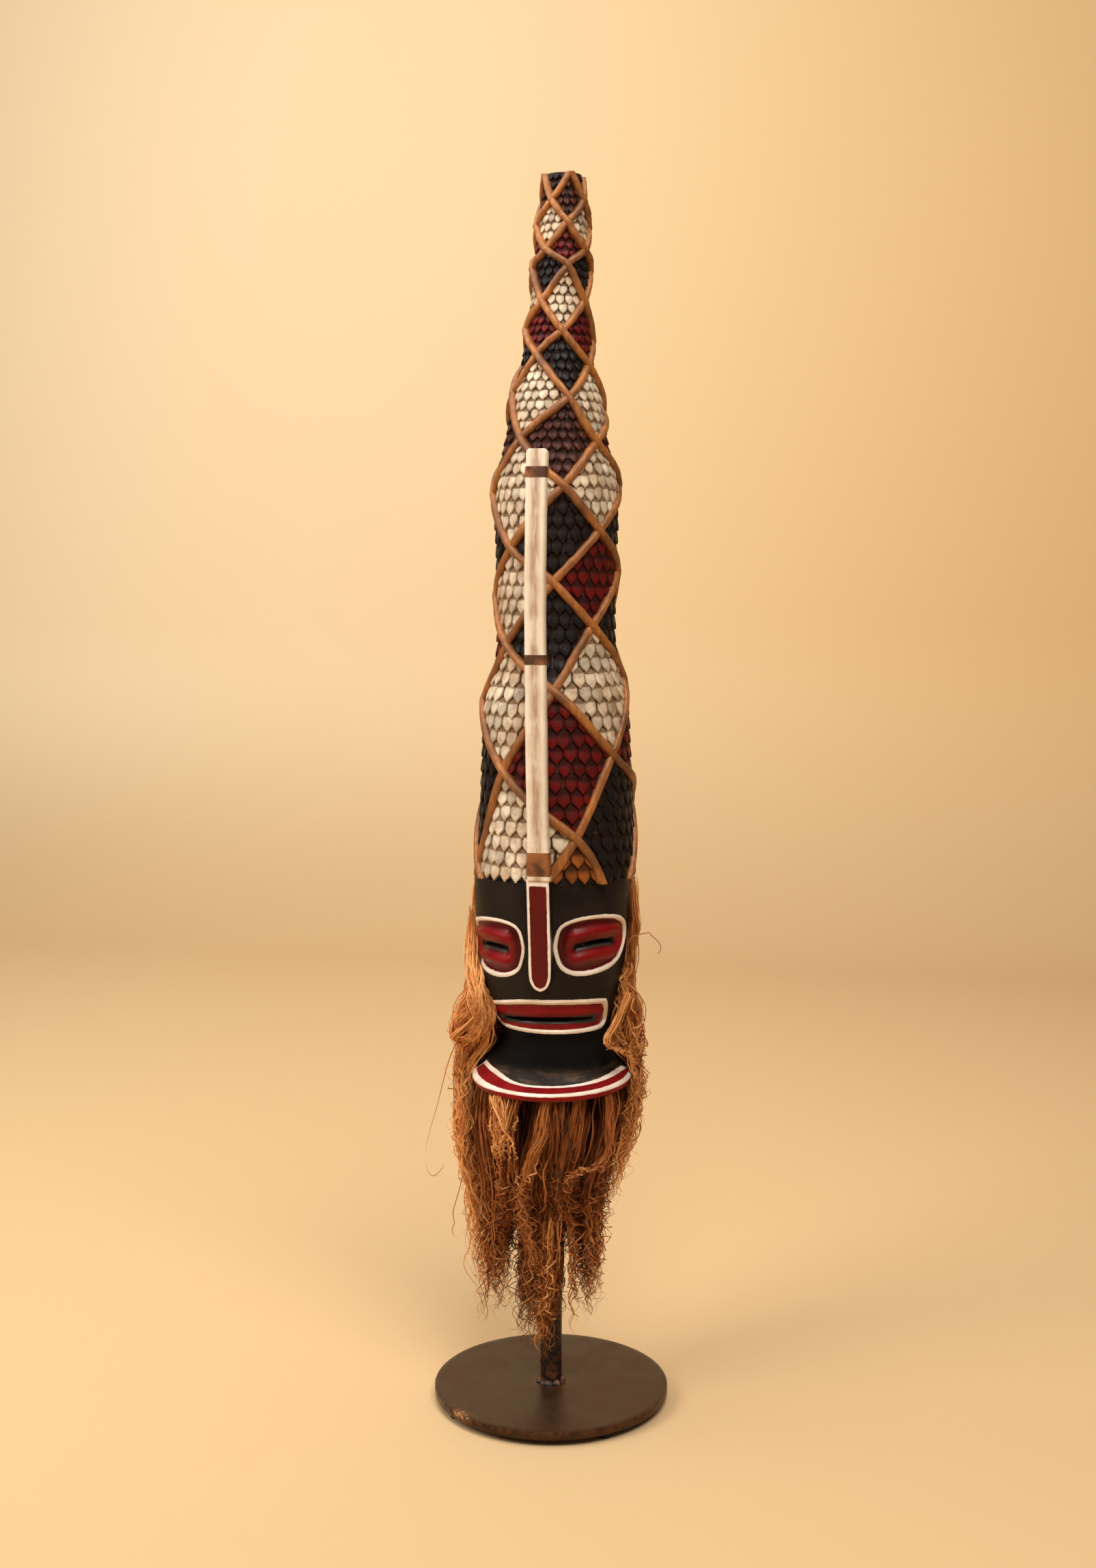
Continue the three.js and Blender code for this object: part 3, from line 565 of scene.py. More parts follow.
# %% Scales
def scale_grids(scales, rng, columns, rows):
    """The points of every scale at once: a domed shield whose edges turn down on to the block."""
    azimuth, tip, half, pitch = (scales[:, n][:, None, None] for n in range(4))
    count = len(scales)
    along = np.append(np.linspace(0, 1, rows), 1.0)[None, :, None]
    across = np.concatenate([[-1.0], np.linspace(-1, 1, columns), [1.0]])[None, None, :]
    at_side = (np.arange(columns + 2) % (columns + 1) == 0)[None, None, :]
    at_tip = (np.arange(rows + 1) == rows)[None, :, None]
    narrow = 1 - TIP_NARROW * np.clip((along - TIP_FROM) / (1 - TIP_FROM), 0, 1) ** TIP_ROUND
    wide = half * SCALE_WIDTH * rng.uniform(0.9, 1.04, (count, 1, 1)) * narrow
    skew = half * rng.normal(0, 0.12, (count, 1, 1)) * along
    z = tip + pitch * SCALE_LENGTH * (1 - along) + pitch * EDGE_CURVE * across**2 * along
    swell = np.sin(math.pi * np.clip(along * 0.9, 0, 1)) ** 0.7
    dome = DOME * (1 - np.abs(across) ** 2.6) * swell * (pitch / DOME_PITCH)
    lift = -ROOT_DEPTH + ROOT_DEPTH * along**0.8 + dome + rng.normal(0, 0.3, (count, 1, 1))
    lift = lift - TIP_DROP * np.clip((along - TIP_DROP_FROM) / (1 - TIP_DROP_FROM), 0, 1)
    lift = np.where(at_side | at_tip, np.minimum(lift - EDGE_DROP, -EDGE_DEPTH), lift)
    turn = azimuth + wide * across + skew
    z, down, side = (np.broadcast_to(values, turn.shape) for values in (z, along, np.abs(across)))
    return [values[:, ::-1] for values in (on_crown(turn, lift, z), turn, z, down, side)]


SCALES = scale_rows()
print("scales:", len(SCALES))
LOWER = SCALES[:, 1] < 860       # the lower scales are the largest, and get more points
for name, chosen, columns, rows in (("lower_scales", LOWER, 7, 8), ("upper_scales", ~LOWER, 5, 7)):
    rng = np.random.default_rng(23)
    grids, turns, heights, down, side = scale_grids(SCALES[chosen], rng, columns, rows)
    pile = Pile("down", "tone", "side")
    pile.add(grids, down=down, side=side, tone=rng.uniform(0, 1, (len(grids), 1, 1)) ** 2)
    piece = pile.piece(name, SCALE_PAINT, "painted_wood")
    paint = piece.data.attributes.new("paint", "FLOAT_COLOR", "POINT")
    paint.data.foreach_set("color", paint_at(turns, heights).astype(np.float32).ravel())
    cut_level(piece, MASK_TOP, keep_below=True)

# %% The raised strips
STRIP_WIDE, STRIP_NARROW = 11.5, 8.5
NARROW_RADIUS, WIDENING = 23, 70  # crown radius where a strip is narrowest, and how much more widens it
STRIP_PROUD, OVER_LIFT = 3.9, 1.1
STRIP_ROOT = 2.6                 # its edges lie this deep
CROSSING_REACH = 0.08            # part of a row over which a strip rises or dips at a crossing
CROSSING_RISE, CROSSING_DIP = 0.7, 1.2
STRIP_STEP = 0.04                # part of a row from one cross-section of a strip to the next
STRIP_MARGIN = 0.6               # part of a row that it stays inside the first and the last row


def strip_grid(family, number):
    """One strip. The family that runs down to the right (+1) passes over the one that runs to the left."""
    rows = np.arange(STRIP_MARGIN, len(LATTICE_ROWS) - 1 - STRIP_MARGIN, STRIP_STEP)
    column = family * (rows - 2 * number)
    path = lattice_point(rows, column)
    along = np.gradient(path, axis=0)
    along /= np.linalg.norm(along, axis=1)[:, None]
    out = path - np.stack([crown_axis(path[:, 2]), np.full(len(path), MASK_Y), path[:, 2]], axis=1)
    out /= np.linalg.norm(out, axis=1)[:, None]
    side = np.cross(along, out)
    seed = 40 + number + 4 * (family > 0)
    radius = crown_radius(path[:, 2])
    half = mix(STRIP_NARROW, STRIP_WIDE, (radius - NARROW_RADIUS) / WIDENING) / 2
    half = half * (1 + 0.07 * wander(rows * 5, seed))
    crossing = np.exp(-((np.abs(rows - np.round(rows)) / CROSSING_REACH) ** 2))
    crest = STRIP_PROUD + (OVER_LIFT if family > 0 else 0) + 0.35 * wander(rows * 7, seed + 20)
    crest = crest + crossing * (CROSSING_RISE if family > 0 else -CROSSING_DIP)
    across = np.linspace(-1, 1, 11)
    round_top = (1 - np.abs(across) ** 2.6) ** 0.45
    lift = -STRIP_ROOT + (crest[:, None] + STRIP_ROOT) * round_top[None]
    centre = path + side * (0.5 * wander(rows * 4, seed + 40))[:, None]
    aside = side[:, None] * (half[:, None] * across[None])[..., None]
    return centre[:, None] + aside + out[:, None] * lift[..., None]


strips = Pile()
for family in (1, -1):
    for number in range(4):
        strips.add(strip_grid(family, number)[:, ::-1], closed=True, caps=True)
lattice = strips.piece("crown_lattice", STRIP_WOOD, "painted_wood")
cut_level(lattice, MASK_TOP, keep_below=True)
cut_level(lattice, CROWN_FOOT - 1.0, keep_below=False)

# %% [markdown]
# ## The face
#
# The face is a drum that narrows to a round neck and flares out into a collar. The red fields round the
# eyes and the mouth are cut in with a crisp edge, the eyelids swell inside them, and the slits go right
# through to the hollow where a wearer's face would be. A skin of closely spaced points carries the carving.
# The hollow and the slits are then cut out with Booleans, as a carver's gouge would.

# %% Outlines of the painted fields
FACE_RADIUS = profile([
    [445, 61], [450, 62], [463, 67], [480, 75], [492, 78.3], [508, 81], [525, 83], [540, 85], [556, 87.4],
    [572, 89.2], [600, 91], [640, 91],
])
FACE_TILT = 4.5                  # the eyes stand higher on the right by this, and lower on the left
FAR = 99.0                       # a distance beyond any line, in millimetres
TILT_START, TILT_END = 440.0, 540.0
# Azimuth and height of the corners of a field.
EYE_FIELD = [
    [12.8, 566], [17, 584], [30, 591.5], [50, 591.5], [68, 586], [81, 575], [86, 560], [80, 542],
    [66, 531.5], [44, 527], [28, 528.7], [18, 536.5], [13.5, 552],
]
MOUTH_FIELD = [
    [-54, 487], [-50, 489.2], [-20, 495.8], [5, 496.3], [35, 494], [58, 490.6], [63, 487.5], [69, 476],
    [74, 466], [68, 460.3], [50, 458.8], [5, 459], [-40, 459.8], [-56, 460.3], [-63, 465], [-58, 476],
]
# Slits: azimuth of the start and the end, height, and rise of the middle.
EYE_SLIT = (29.5, 67.0, 558.6, 2.0)
MOUTH_SLIT = (-50.0, 56.0, 470.5, 3.0)
# Millimetres along the face's surface for a degree, at the height of the eyes and of the mouth.
EYE_ARC, MOUTH_ARC = math.radians(1) * 88, math.radians(1) * 75
print("corners of a field: eye", len(EYE_FIELD), "mouth", len(MOUTH_FIELD))


# %% Distances from lines, fields and slits
def closed_curve(corners, steps=10):
    """A smooth closed line through a few corners."""
    corners = np.array(corners, float)
    t = np.linspace(0, 1, steps, endpoint=False)[:, None]
    pieces = []
    for n in range(len(corners)):
        a, b, c, d = (corners[(n + k) % len(corners)] for k in (-1, 0, 1, 2))
        cubic = -0.5 * a + 1.5 * b - 1.5 * c + 0.5 * d
        pieces.append(cubic * t**3 + (a - 2.5 * b + 2 * c - 0.5 * d) * t**2 + (c - a) / 2 * t + b)
    return np.vstack(pieces)


def line_distance(x, z, line):
    """Distance of places from a line of points in the same plane."""
    nearest = np.full(np.shape(x), 1e9)
    for (x1, z1), (x2, z2) in zip(line, line[1:]):
        dx, dz = x2 - x1, z2 - z1
        t = np.clip(((x - x1) * dx + (z - z1) * dz) / max(dx * dx + dz * dz, 1e-9), 0, 1)
        nearest = np.minimum(nearest, np.hypot(x - x1 - t * dx, z - z1 - t * dz))
    return nearest


def edge_distance(x, z, outline):
    """Distance of places from a closed line, less than nothing inside it."""
    inside = np.zeros(np.shape(x), bool)
    for (x1, z1), (x2, z2) in zip(outline, np.roll(outline, -1, axis=0)):
        dz = z2 - z1
        inside ^= ((z1 > z) != (z2 > z)) & (x < x1 + (z - z1) * (x2 - x1) / (dz if dz else 1e-9))
    nearest = line_distance(x, z, np.vstack([outline, outline[:1]]))
    return np.where(inside, -nearest, nearest)


def field_distance(azimuth, z, field, arc):
    return edge_distance(azimuth * arc, z, closed_curve(field) * [arc, 1])


def slit_line(slit, steps=20):
    """Azimuths and heights of the middle line of a slit."""
    start, end, height, rise = slit
    t = np.linspace(0, 1, steps)
    return mix(start, end, t), height + rise * np.sin(math.pi * t)


def slit_distance(azimuth, z, slit, arc):
    turns, heights = slit_line(slit)
    return line_distance(azimuth * arc, z, np.column_stack([turns * arc, heights]))


def below_slit(azimuth, z, slit):
    """How far places lie below the middle line of a slit, and far above it beside its ends."""
    turns, heights = slit_line(slit)
    at_slit = (azimuth > turns[0]) & (azimuth < turns[-1])
    return np.where(at_slit, np.interp(azimuth, turns, heights) - z, -FAR)


# %% The carved relief of the face
LINE_HALF = 2.55                 # half the width of the cream lines
LINE_RIDGE, RIDGE_WIDTH = 0.7, 2.4         # the lines stand this proud, and their swelling is this broad
SLIT_NOTCH = 2.2                 # depth of the groove round a slit
NOTCH_REACH, NOTCH_RUN = 4.2, 2.2          # how far from the slit it ends, and how softly
EYE_DISH, CORNER_DISH = 5.2, 2.8           # depth of an eye, and what is added at its inner corner
LID_PEAK, LID_WIDTH, LID_HEIGHT = 14.0, 6.5, 6.2   # an eyelid's ridge: distance from the slit, and size
MOUTH_DISH, MOUTH_VALLEY, VALLEY_WIDTH = 3.2, 1.4, 5.0
LIP_PEAK, LIP_WIDTH, LIP_HEIGHT = 10.0, 5.5, 2.0
LEFT_STRETCH = 7.0               # degrees by which the left eye reaches further back than the right one
NECK_SHIFT, SHIFT_END, SHIFT_RUN = 5.2, 474.0, 26.0   # the neck stands to the right of the face's axis


def bell(value, middle, width):
    return np.exp(-(((value - middle) / width) ** 2))


# %% The relief at any place of the face
def eye_relief(azimuth, z):
    """Round one eye: distance from the field's edge, depth of the carving, and distance from the slit."""
    edge = field_distance(azimuth, z, EYE_FIELD, EYE_ARC)
    off = slit_distance(azimuth, z, EYE_SLIT, EYE_ARC)
    corner = smooth((29 - azimuth) / 14)
    inner = EYE_DISH + CORNER_DISH * corner - LID_HEIGHT * bell(off, LID_PEAK, LID_WIDTH) * (1 - corner)
    return edge, smooth((-edge - 0.8) / 3.2) * inner, off


def mouth_relief(azimuth, z):
    """The same round the mouth, with a lip above and below the slit."""
    edge = field_distance(azimuth, z, MOUTH_FIELD, MOUTH_ARC)
    off = slit_distance(azimuth, z, MOUTH_SLIT, MOUTH_ARC)
    lip = LIP_HEIGHT * bell(off, LIP_PEAK, LIP_WIDTH)
    inner = MOUTH_DISH - lip + MOUTH_VALLEY * bell(off, 0, VALLEY_WIDTH)
    return edge, smooth((-edge - 0.4) / 2.0) * inner, off


def left_azimuth(azimuth):
    """The left eye is the right one mirrored, with its outer end drawn out round the side."""
    turn = -np.asarray(azimuth, float)
    return turn - LEFT_STRETCH * smooth((turn - 55) / 33)


def face_tilt(azimuth, z):
    return FACE_TILT * smooth((z - TILT_START) / (TILT_END - TILT_START)) * np.sin(np.radians(azimuth))


def face_axis(z):
    """Where the axis of the face is along X: low down it turns aside into the neck's."""
    return FACE_X + NECK_SHIFT * smooth((SHIFT_END - z) / SHIFT_RUN)


def face_skin(azimuth, z):
    """Radius of the carved face and the distances that its paint follows."""
    level = z - face_tilt(azimuth, z)
    right = eye_relief(azimuth, level)
    left = eye_relief(left_azimuth(azimuth), level)
    mouth = mouth_relief(azimuth, level)
    edge = np.minimum(np.minimum(right[0], left[0]), mouth[0])
    depth = right[1] + left[1] + mouth[1]
    slit = np.minimum(np.minimum(right[2], left[2]), mouth[2])
    ridge = LINE_RIDGE * bell(edge, 0, RIDGE_WIDTH)
    notch = SLIT_NOTCH * smooth((NOTCH_REACH - slit) / NOTCH_RUN)
    return FACE_RADIUS(z) - depth + ridge - notch, edge, slit


# %% The skin of head, neck and collar
COLLAR_TILT, COLLAR_REACH, NECK_RADIUS = 4.5, 112.0, 61.0
# Radius and height of the collar and the foot of the neck in front, and the same at the sides, where the neck
# flares out more widely. The neck also stands a little to the right, by the last number of each row.
COLLAR = [
    [60, 388, 60, 388, 0], [88, 387.7, 88, 387.7, 0], [93.4, 388.6, 93.4, 388.6, 0],
    [94.6, 391, 94.6, 391, 0], [95, 394.6, 95, 394.6, 0], [94, 396.6, 94, 396.6, 0], [91, 397.4, 92, 398, 0],
    [83, 399.9, 88, 401.2, 0], [75, 402.4, 84, 404.8, 0.3], [69.5, 408, 79.5, 411, 1],
    [65.5, 416, 73.5, 419.5, 3.2], [62.6, 428, 66.5, 429.5, 6], [61, 440, 62, 440, 5.2],
]
COLLAR_RINGS = 52
front_turns = np.arange(-104, 104.01, 0.8)
back_turns = np.arange(108, 253, 4.0)
TURNS = np.concatenate([front_turns, back_turns])
SIGNED_TURNS = np.where(TURNS > 180, TURNS - 360, TURNS)
collar_along = np.linspace(0, len(COLLAR) - 1, COLLAR_RINGS)[:, None]
numbered = [[n, *row] for n, row in enumerate(COLLAR)]
front_radius, front_height, side_radius, side_height, neck_shift = (
    profile(numbered, column)(collar_along) for column in range(1, 6))
face_heights = np.concatenate([
    np.arange(445, 603, 1.25), np.arange(603, 635, 3.0), [CROWN_FOOT, CROWN_FOOT + 0.1, 640, 652, 660]])


# %% The skin, ring by ring
def head_rings():
    """The skin of the head, ring by ring from the underside of the collar to the foot of the crown."""
    side = np.abs(SIGNED_TURNS)
    reach = smooth((COLLAR_REACH + 6 - side) / 12)
    sideways = np.sin(np.radians(np.minimum(side, 90)))[None] ** 2
    height = mix(front_height, side_height, sideways)
    radius = mix(NECK_RADIUS - 1, mix(front_radius, side_radius, sideways), reach[None])
    tilt = -COLLAR_TILT * np.cos(np.radians(TURNS))[None] * smooth((440 - height) / 40)
    collar = around(TURNS[None], radius, height + tilt, FACE_X + neck_shift)
    turns, heights = np.meshgrid(SIGNED_TURNS, face_heights)
    under_crown = heights > CROWN_FOOT
    crown_root = crown_radius(heights) - SCALE_PROUD - 0.6
    radius = np.where(under_crown, crown_root, face_skin(turns, heights)[0])
    axis = np.where(under_crown, MASK_X, face_axis(heights))
    return np.vstack([collar, around(turns, radius, heights, axis)])


head = Pile()
head.add(head_rings(), closed=True, caps=True)
print("head skin points:", head.count)

# %% Hollow and slits
WALL = 17.0
HOLLOW_FOOT = 370                # the hollow is open below this and behind
SLIT_HALF, SLIT_STEPS = 2.4, 25
SLIT_DEPTHS = (40, 110)          # radii between which a slit is cut


def cutter(name, grid):
    """A closed shape to cut with. It goes once the cut is made."""
    pile = Pile()
    pile.add(grid, closed=True, caps=True)
    tool = bpy.data.objects.new(name, pile.mesh(name))
    bpy.context.scene.collection.objects.link(tool)
    shape = bmesh.new()
    shape.from_mesh(tool.data)
    bmesh.ops.recalc_face_normals(shape, faces=shape.faces)
    shape.to_mesh(tool.data)
    shape.free()
    return tool


def slit_grid(slit, side=1):
    """A flat wedge that opens a slit from the front through the wall."""
    turn, z = slit_line(slit, SLIT_STEPS)
    turn = side * turn
    z = z + face_tilt(turn, z)
    half = SLIT_HALF * np.sqrt(np.sin(math.pi * np.linspace(0.04, 0.96, SLIT_STEPS)))
    inner, outer = SLIT_DEPTHS
    corners = ((inner, -1), (inner, 1), (outer, 1), (outer, -1))
    return np.stack([around(turn, radius, z + up * half, face_axis(z)) for radius, up in corners], axis=1)


def cut_away(piece, tools):
    for tool in tools:
        step = piece.modifiers.new(tool.name, "BOOLEAN")
        step.operation, step.object, step.solver = "DIFFERENCE", tool, "MANIFOLD"
    bpy.context.view_layer.update()
    ready = piece.evaluated_get(bpy.context.evaluated_depsgraph_get())
    mesh = bpy.data.meshes.new_from_object(ready)
    piece.modifiers.clear()
    piece.data = mesh
    for tool in tools:
        bpy.data.objects.remove(tool)


# %% The shapes to cut with
cavity = [
    [NECK_RADIUS - 14, HOLLOW_FOOT], [NECK_RADIUS - 14, 450], [FACE_RADIUS(500) - WALL, 500],
    [FACE_RADIUS(560) - WALL, 560], [FACE_RADIUS(600) - WALL, 640], [58, 652], [30, 655],
]
open_back = ((FACE_X - 56, 27), (FACE_X + 56, 27), (FACE_X + 56, 147), (FACE_X - 56, 147))
back_box = np.array([[[x, y, z] for x, y in open_back] for z in (HOLLOW_FOOT, 648)], float)
tools = [
    cutter("hollow", lathe(cavity, 48, FACE_X, MASK_Y)), cutter("open_back", back_box),
    cutter("mouth_slit", slit_grid(MOUTH_SLIT)), cutter("right_slit", slit_grid(EYE_SLIT)),
    cutter("left_slit", slit_grid(EYE_SLIT, -1)),
]
print("cuts to make:", [tool.name for tool in tools])

# %% [markdown]
# ## The paint of the face
#
# Satin black covers the head. The fields are dark red, and a cream line about five millimetres wide runs
# round each. The paint follows marks on the mesh, which hold the distance from each line in millimetres, so
# the edges stay crisp however near one looks, and a little noise makes them waver as a brush does.

# %% Face paint
def worn_black_and_painted_shade(tree, where, patches):
    """Black with rubbed spots, streaks of wood on the foot of the neck, and a painted shadow under the chin.
    """
    black = blend(tree, times(tree, patches, 0.5), colour("1a1410"), colour("2a2019"))
    rubbed = ramp(tree, noise(tree, where, 45.0, 8.0, 0.7), 0.64, 0.76)
    black = blend(tree, times(tree, rubbed, 0.3), black, colour("43352a"))
    level = squeezed(tree, where, 5.0)
    streaks = times(tree, ramp(tree, noise(tree, level, 32.0, 6.0, 0.65), 0.45, 0.72), mark(tree, "wear"))
    black = blend(tree, times(tree, streaks, 0.8), black, colour("5c4633"))
    # Painted shadow under the chin: the black is painted near black where the shade mark is.
    return blend(tree, times(tree, mark(tree, "shade"), 0.9), black, colour("020101"))


def face_paint():
    made, tree, sockets = new_material("face paint")
    brushed = use(tree, BRUSHED, Scale=34.0)
    where = own_place(tree)
    shake = sums(tree, "MULTIPLY_ADD", noise(tree, where, 130.0, 2.0), 1.3, -0.65)
    line = sums(tree, "ADD", mark(tree, "line"), shake)
    field = sums(tree, "ADD", mark(tree, "field"), shake)
    slit = sums(tree, "ADD", mark(tree, "slit"), times(tree, shake, 0.6))
    depth = mark(tree, "deep")
    red = blend(tree, times(tree, brushed["Patches"], 0.7), colour("780a0d"), colour("8e1215"))
    # Painted shade: the red darkens where the field is cut deeper.
    red = blend(tree, times(tree, ramp(tree, depth, 0.5, 6.5), 0.75), red, colour("280305"))
    cream = blend(tree, times(tree, brushed["Patches"], 0.5), colour("f2e4d4"), colour("d2b79c"))
    is_red = ramp(tree, field, 0.3, -0.3)
    paint = blend(tree, is_red, worn_black_and_painted_shade(tree, where, brushed["Patches"]), red)
    paint = blend(tree, ramp(tree, line, LINE_HALF + 0.25, LINE_HALF - 0.25), paint, cream)
    paint = blend(tree, ramp(tree, slit, 4.0, 3.4), paint, colour("070605"))
    # Painted highlight: the cut edge under a slit is painted grey, as if it caught the light.
    lip = times(tree, ramp(tree, slit, 5.2, 4.6), ramp(tree, mark(tree, "below"), 2.0, 2.8))
    paint = blend(tree, lip, paint, colour("3a352f"))
    wood = blend(tree, use(tree, GRAIN, Scale=18.0)["Grain"], colour("6a4426"), colour("3f2614"))
    paint = blend(tree, mark(tree, "bare"), paint, wood)
    satin = ramp(tree, brushed["Patches"], 0.0, 1.0, 0.4, 0.54)
    satin = sums(tree, "MULTIPLY_ADD", mark(tree, "shade"), 0.4, satin)
    fill(tree, sockets, {
        "Base Color": dusty(tree, paint, 0.01),
        "Roughness": sums(tree, "MULTIPLY_ADD", is_red, -0.06, satin),
        "Normal": bump(tree, brushed["Height"], 0.4, 0.0014),
        "Specular IOR Level": 0.14,
        # The varnish is thicker on the red of the eyes and the mouth.
        "Coat Weight": ramp(tree, depth, 0.2, 2.5, 0.0, 0.22),
        "Coat Roughness": 0.32,
    })
    return made


FACE_PAINT = face_paint()

# %% Where the paint of the head lies
FACE_FROM = 447                  # the face's own marks count above this height, and the collar's below it


def points_of(piece):
    points = np.empty(len(piece.data.vertices) * 3)
    piece.data.vertices.foreach_get("co", points)
    return points.reshape(-1, 3) / MM


# The collar's red band: azimuths of its two ends, and the radius of the cream line along its inner side.
BAND_ENDS = (-86.0, 103.0)
INNER_LINE = profile([
    [-88, 97], [-85, 93], [-82.5, 86], [-80, 81.3], [-77, 79.4], [-59, 77.1], [-45, 76.1], [-30, 76.7],
    [-15, 77.4], [5, 77], [30, 78.8], [43, 80.3], [58, 81.7], [72, 82.9], [86, 84.3], [95, 86.8], [100, 90.5],
    [104, 95],
])
# Radius and height of the cream line along its outer side, and how much less both are on the left.
OUTER_LINE, OUTER_SHIFT = (93.0, 396.2), (1.4, 1.2)
BAND_LINE = 1.9                  # half the width of the band's cream lines


def collar_marks(turn, radius, lift):
    """Distance from the cream lines of the collar and from its red band. Lift is height without the tilt."""
    inner = INNER_LINE(turn)
    left = smooth((-turn - 25) / 30)
    inner_line = 1.15 * np.abs(radius - inner) + np.clip(lift - 414, 0, FAR)
    out, up = (edge - shift * left for edge, shift in zip(OUTER_LINE, OUTER_SHIFT))
    outer_line = np.hypot(np.clip(out - radius, 0, FAR), np.clip(up - lift, 0, FAR))
    past = np.maximum(BAND_ENDS[0] - turn, turn - BAND_ENDS[1])
    line = np.minimum(inner_line, outer_line) + LINE_HALF - BAND_LINE + np.clip(past - 1, 0, FAR) * 2
    field = np.where((radius > inner) & (lift > 386) & (past < 1), -3.0, 3.0)
    return line, field


def paint_head(piece):
    """Works out every mark of the head from where its points lie."""
    x, y, z = points_of(piece).T
    on_face = z > FACE_FROM
    axis = np.where(on_face, face_axis(z), FACE_X)
    turn = np.degrees(np.arctan2(x - axis, MASK_Y - y))
    radius = np.hypot(x - axis, y - MASK_Y)
    skin, edge, slit = face_skin(turn, z)
    lift = z + COLLAR_TILT * np.cos(np.radians(turn))
    collar_line, collar_field = collar_marks(turn, radius, lift)
    upper_lip = 0.7 * smooth((z - 485) / 6) * smooth((510 - z) / 6)
    level = z - face_tilt(turn, z)
    below = [below_slit(turn, level, EYE_SLIT), below_slit(turn, level, MOUTH_SLIT),
             below_slit(left_azimuth(turn), level, EYE_SLIT)]
    inside = radius < np.where(on_face, skin, NECK_RADIUS) - 6
    underside = (~on_face) & (lift < 389)
    mark_points(
        piece.data,
        line=np.where(on_face, np.abs(edge) - upper_lip, np.where(lift < 416, collar_line, 20.0)),
        field=np.where(on_face, edge, collar_field),
        slit=np.where(on_face, slit, FAR),
        below=np.max(below, axis=0),
        bare=np.where(inside | underside | (np.abs(turn) > 125), 1.0, 0.0),
        deep=np.where(on_face, FACE_RADIUS(z) - radius, 0.0),
        wear=smooth((424 - z) / 14) * np.where(on_face, 0.0, 1.0),
        # the shade mark is a painted shadow under the chin, where the jaw shades the neck
        shade=smooth((z - 405) / 14) * smooth((470 - z) / 12))


# %% Face
head_piece = head.piece("face", FACE_PAINT, "painted_wood")
cut_away(head_piece, tools)
head_piece.data.materials.clear()
head_piece.data.materials.append(FACE_PAINT)
paint_head(head_piece)
head_piece.data.shade_smooth()
head_piece.data.set_sharp_from_angle(angle=math.radians(50))
print("face points after cutting:", len(head_piece.data.vertices))

# %% [markdown]
# ## Nose and bar
#
# The nose is a square ridge with a pointed lower end, red in front with cream lines along its edges. Its
# upper end runs on as a free bar, which leans away from the crown. The bar is cream, rubbed brown along the
# middle, with three narrow bands left as wood.

# %% Nose
NOSE_X, NOSE_TIP, NOSE_TOP, NOSE_HALF = 2.0, 512.5, 644.0, 13.2
NOSE_FRONT_LOW, NOSE_FRONT_HIGH = 95, 112   # distance of its front from the mask's axis, at its tip and top
NOSE_BACK = 76
NOSE_CORNER = 2.2
NOSE_LINE = 3.4                  # width of the cream lines along the nose
NOSE_BAND = 8.0                  # width of the cream band across its top
NOSE_DEEP = 4.6                  # its red is darkened by as much painted shade as a field cut in this deep
nose_half = profile([
    [NOSE_TIP, 0.6], [513.5, 4.2], [516, 7.6], [520, 10.2], [526, 12.3], [536, 13.1], [560, NOSE_HALF],
    [650, NOSE_HALF],
])


def nose_front(z):
    return MASK_Y - mix(NOSE_FRONT_LOW, NOSE_FRONT_HIGH, (z - NOSE_TIP) / (NOSE_TOP - NOSE_TIP))


def nose_section(half, front, back):
    """Half widths and depths of one level of the nose, from back left round the front to back right."""
    turns = np.radians(np.linspace(0, 90, 5))
    corner = np.minimum(NOSE_CORNER, half * 0.8)
    side = [[-half, mix(back, front + corner, t)] for t in np.linspace(0, 0.96, 6)]
    left = [[-half + corner * (1 - math.cos(t)), front + corner * (1 - math.sin(t))] for t in turns]
    flat = [[mix(-half + corner, half - corner, t), front] for t in np.linspace(0, 1, 20)[1:-1]]
    mirrored = [[-x, y] for x, y in reversed(side + left)]
    return np.array(side + left + flat + mirrored)


# %% The sections of the nose, and the lines painted on it
nose_heights = np.concatenate([
    [NOSE_TIP, 512.9, 513.5], np.arange(514.5, 643.5, 1.5), [643.2, NOSE_TOP]])
sections = []
for z in nose_heights:
    plan = nose_section(float(nose_half(z)), nose_front(z), MASK_Y - NOSE_BACK)
    wobble = 0.35 * wander(np.array(z * 0.05), 5)
    sections.append(np.column_stack([NOSE_X + plan[:, 0] + wobble, plan[:, 1], np.full(len(plan), z)]))
sections = np.array(sections)
outline_heights = np.append(np.arange(NOSE_TIP, NOSE_TOP, 2.0), NOSE_TOP)
nose_outline = np.column_stack([nose_half(outline_heights), outline_heights])
nose_outline = np.vstack([nose_outline, (nose_outline * [-1, 1])[::-1]])
inward = edge_distance(sections[..., 0] - NOSE_X, sections[..., 2], nose_outline)
inward = np.maximum(inward, (sections[..., 2] - NOSE_TOP) * NOSE_LINE / NOSE_BAND)
behind_front = np.clip(sections[..., 1] - nose_front(sections[..., 2]) - 0.8, 0, FAR)
nose_edge = np.where(behind_front > 0, behind_front, inward)
nose_line = np.abs(nose_edge + NOSE_LINE / 2) + LINE_HALF - NOSE_LINE / 2
nose = Pile("line", "field", "slit", "bare", "deep")
nose.add(sections, closed=True, caps=True, line=nose_line, field=nose_edge, slit=FAR, deep=NOSE_DEEP)
nose_piece = nose.piece("nose", FACE_PAINT, "painted_wood")


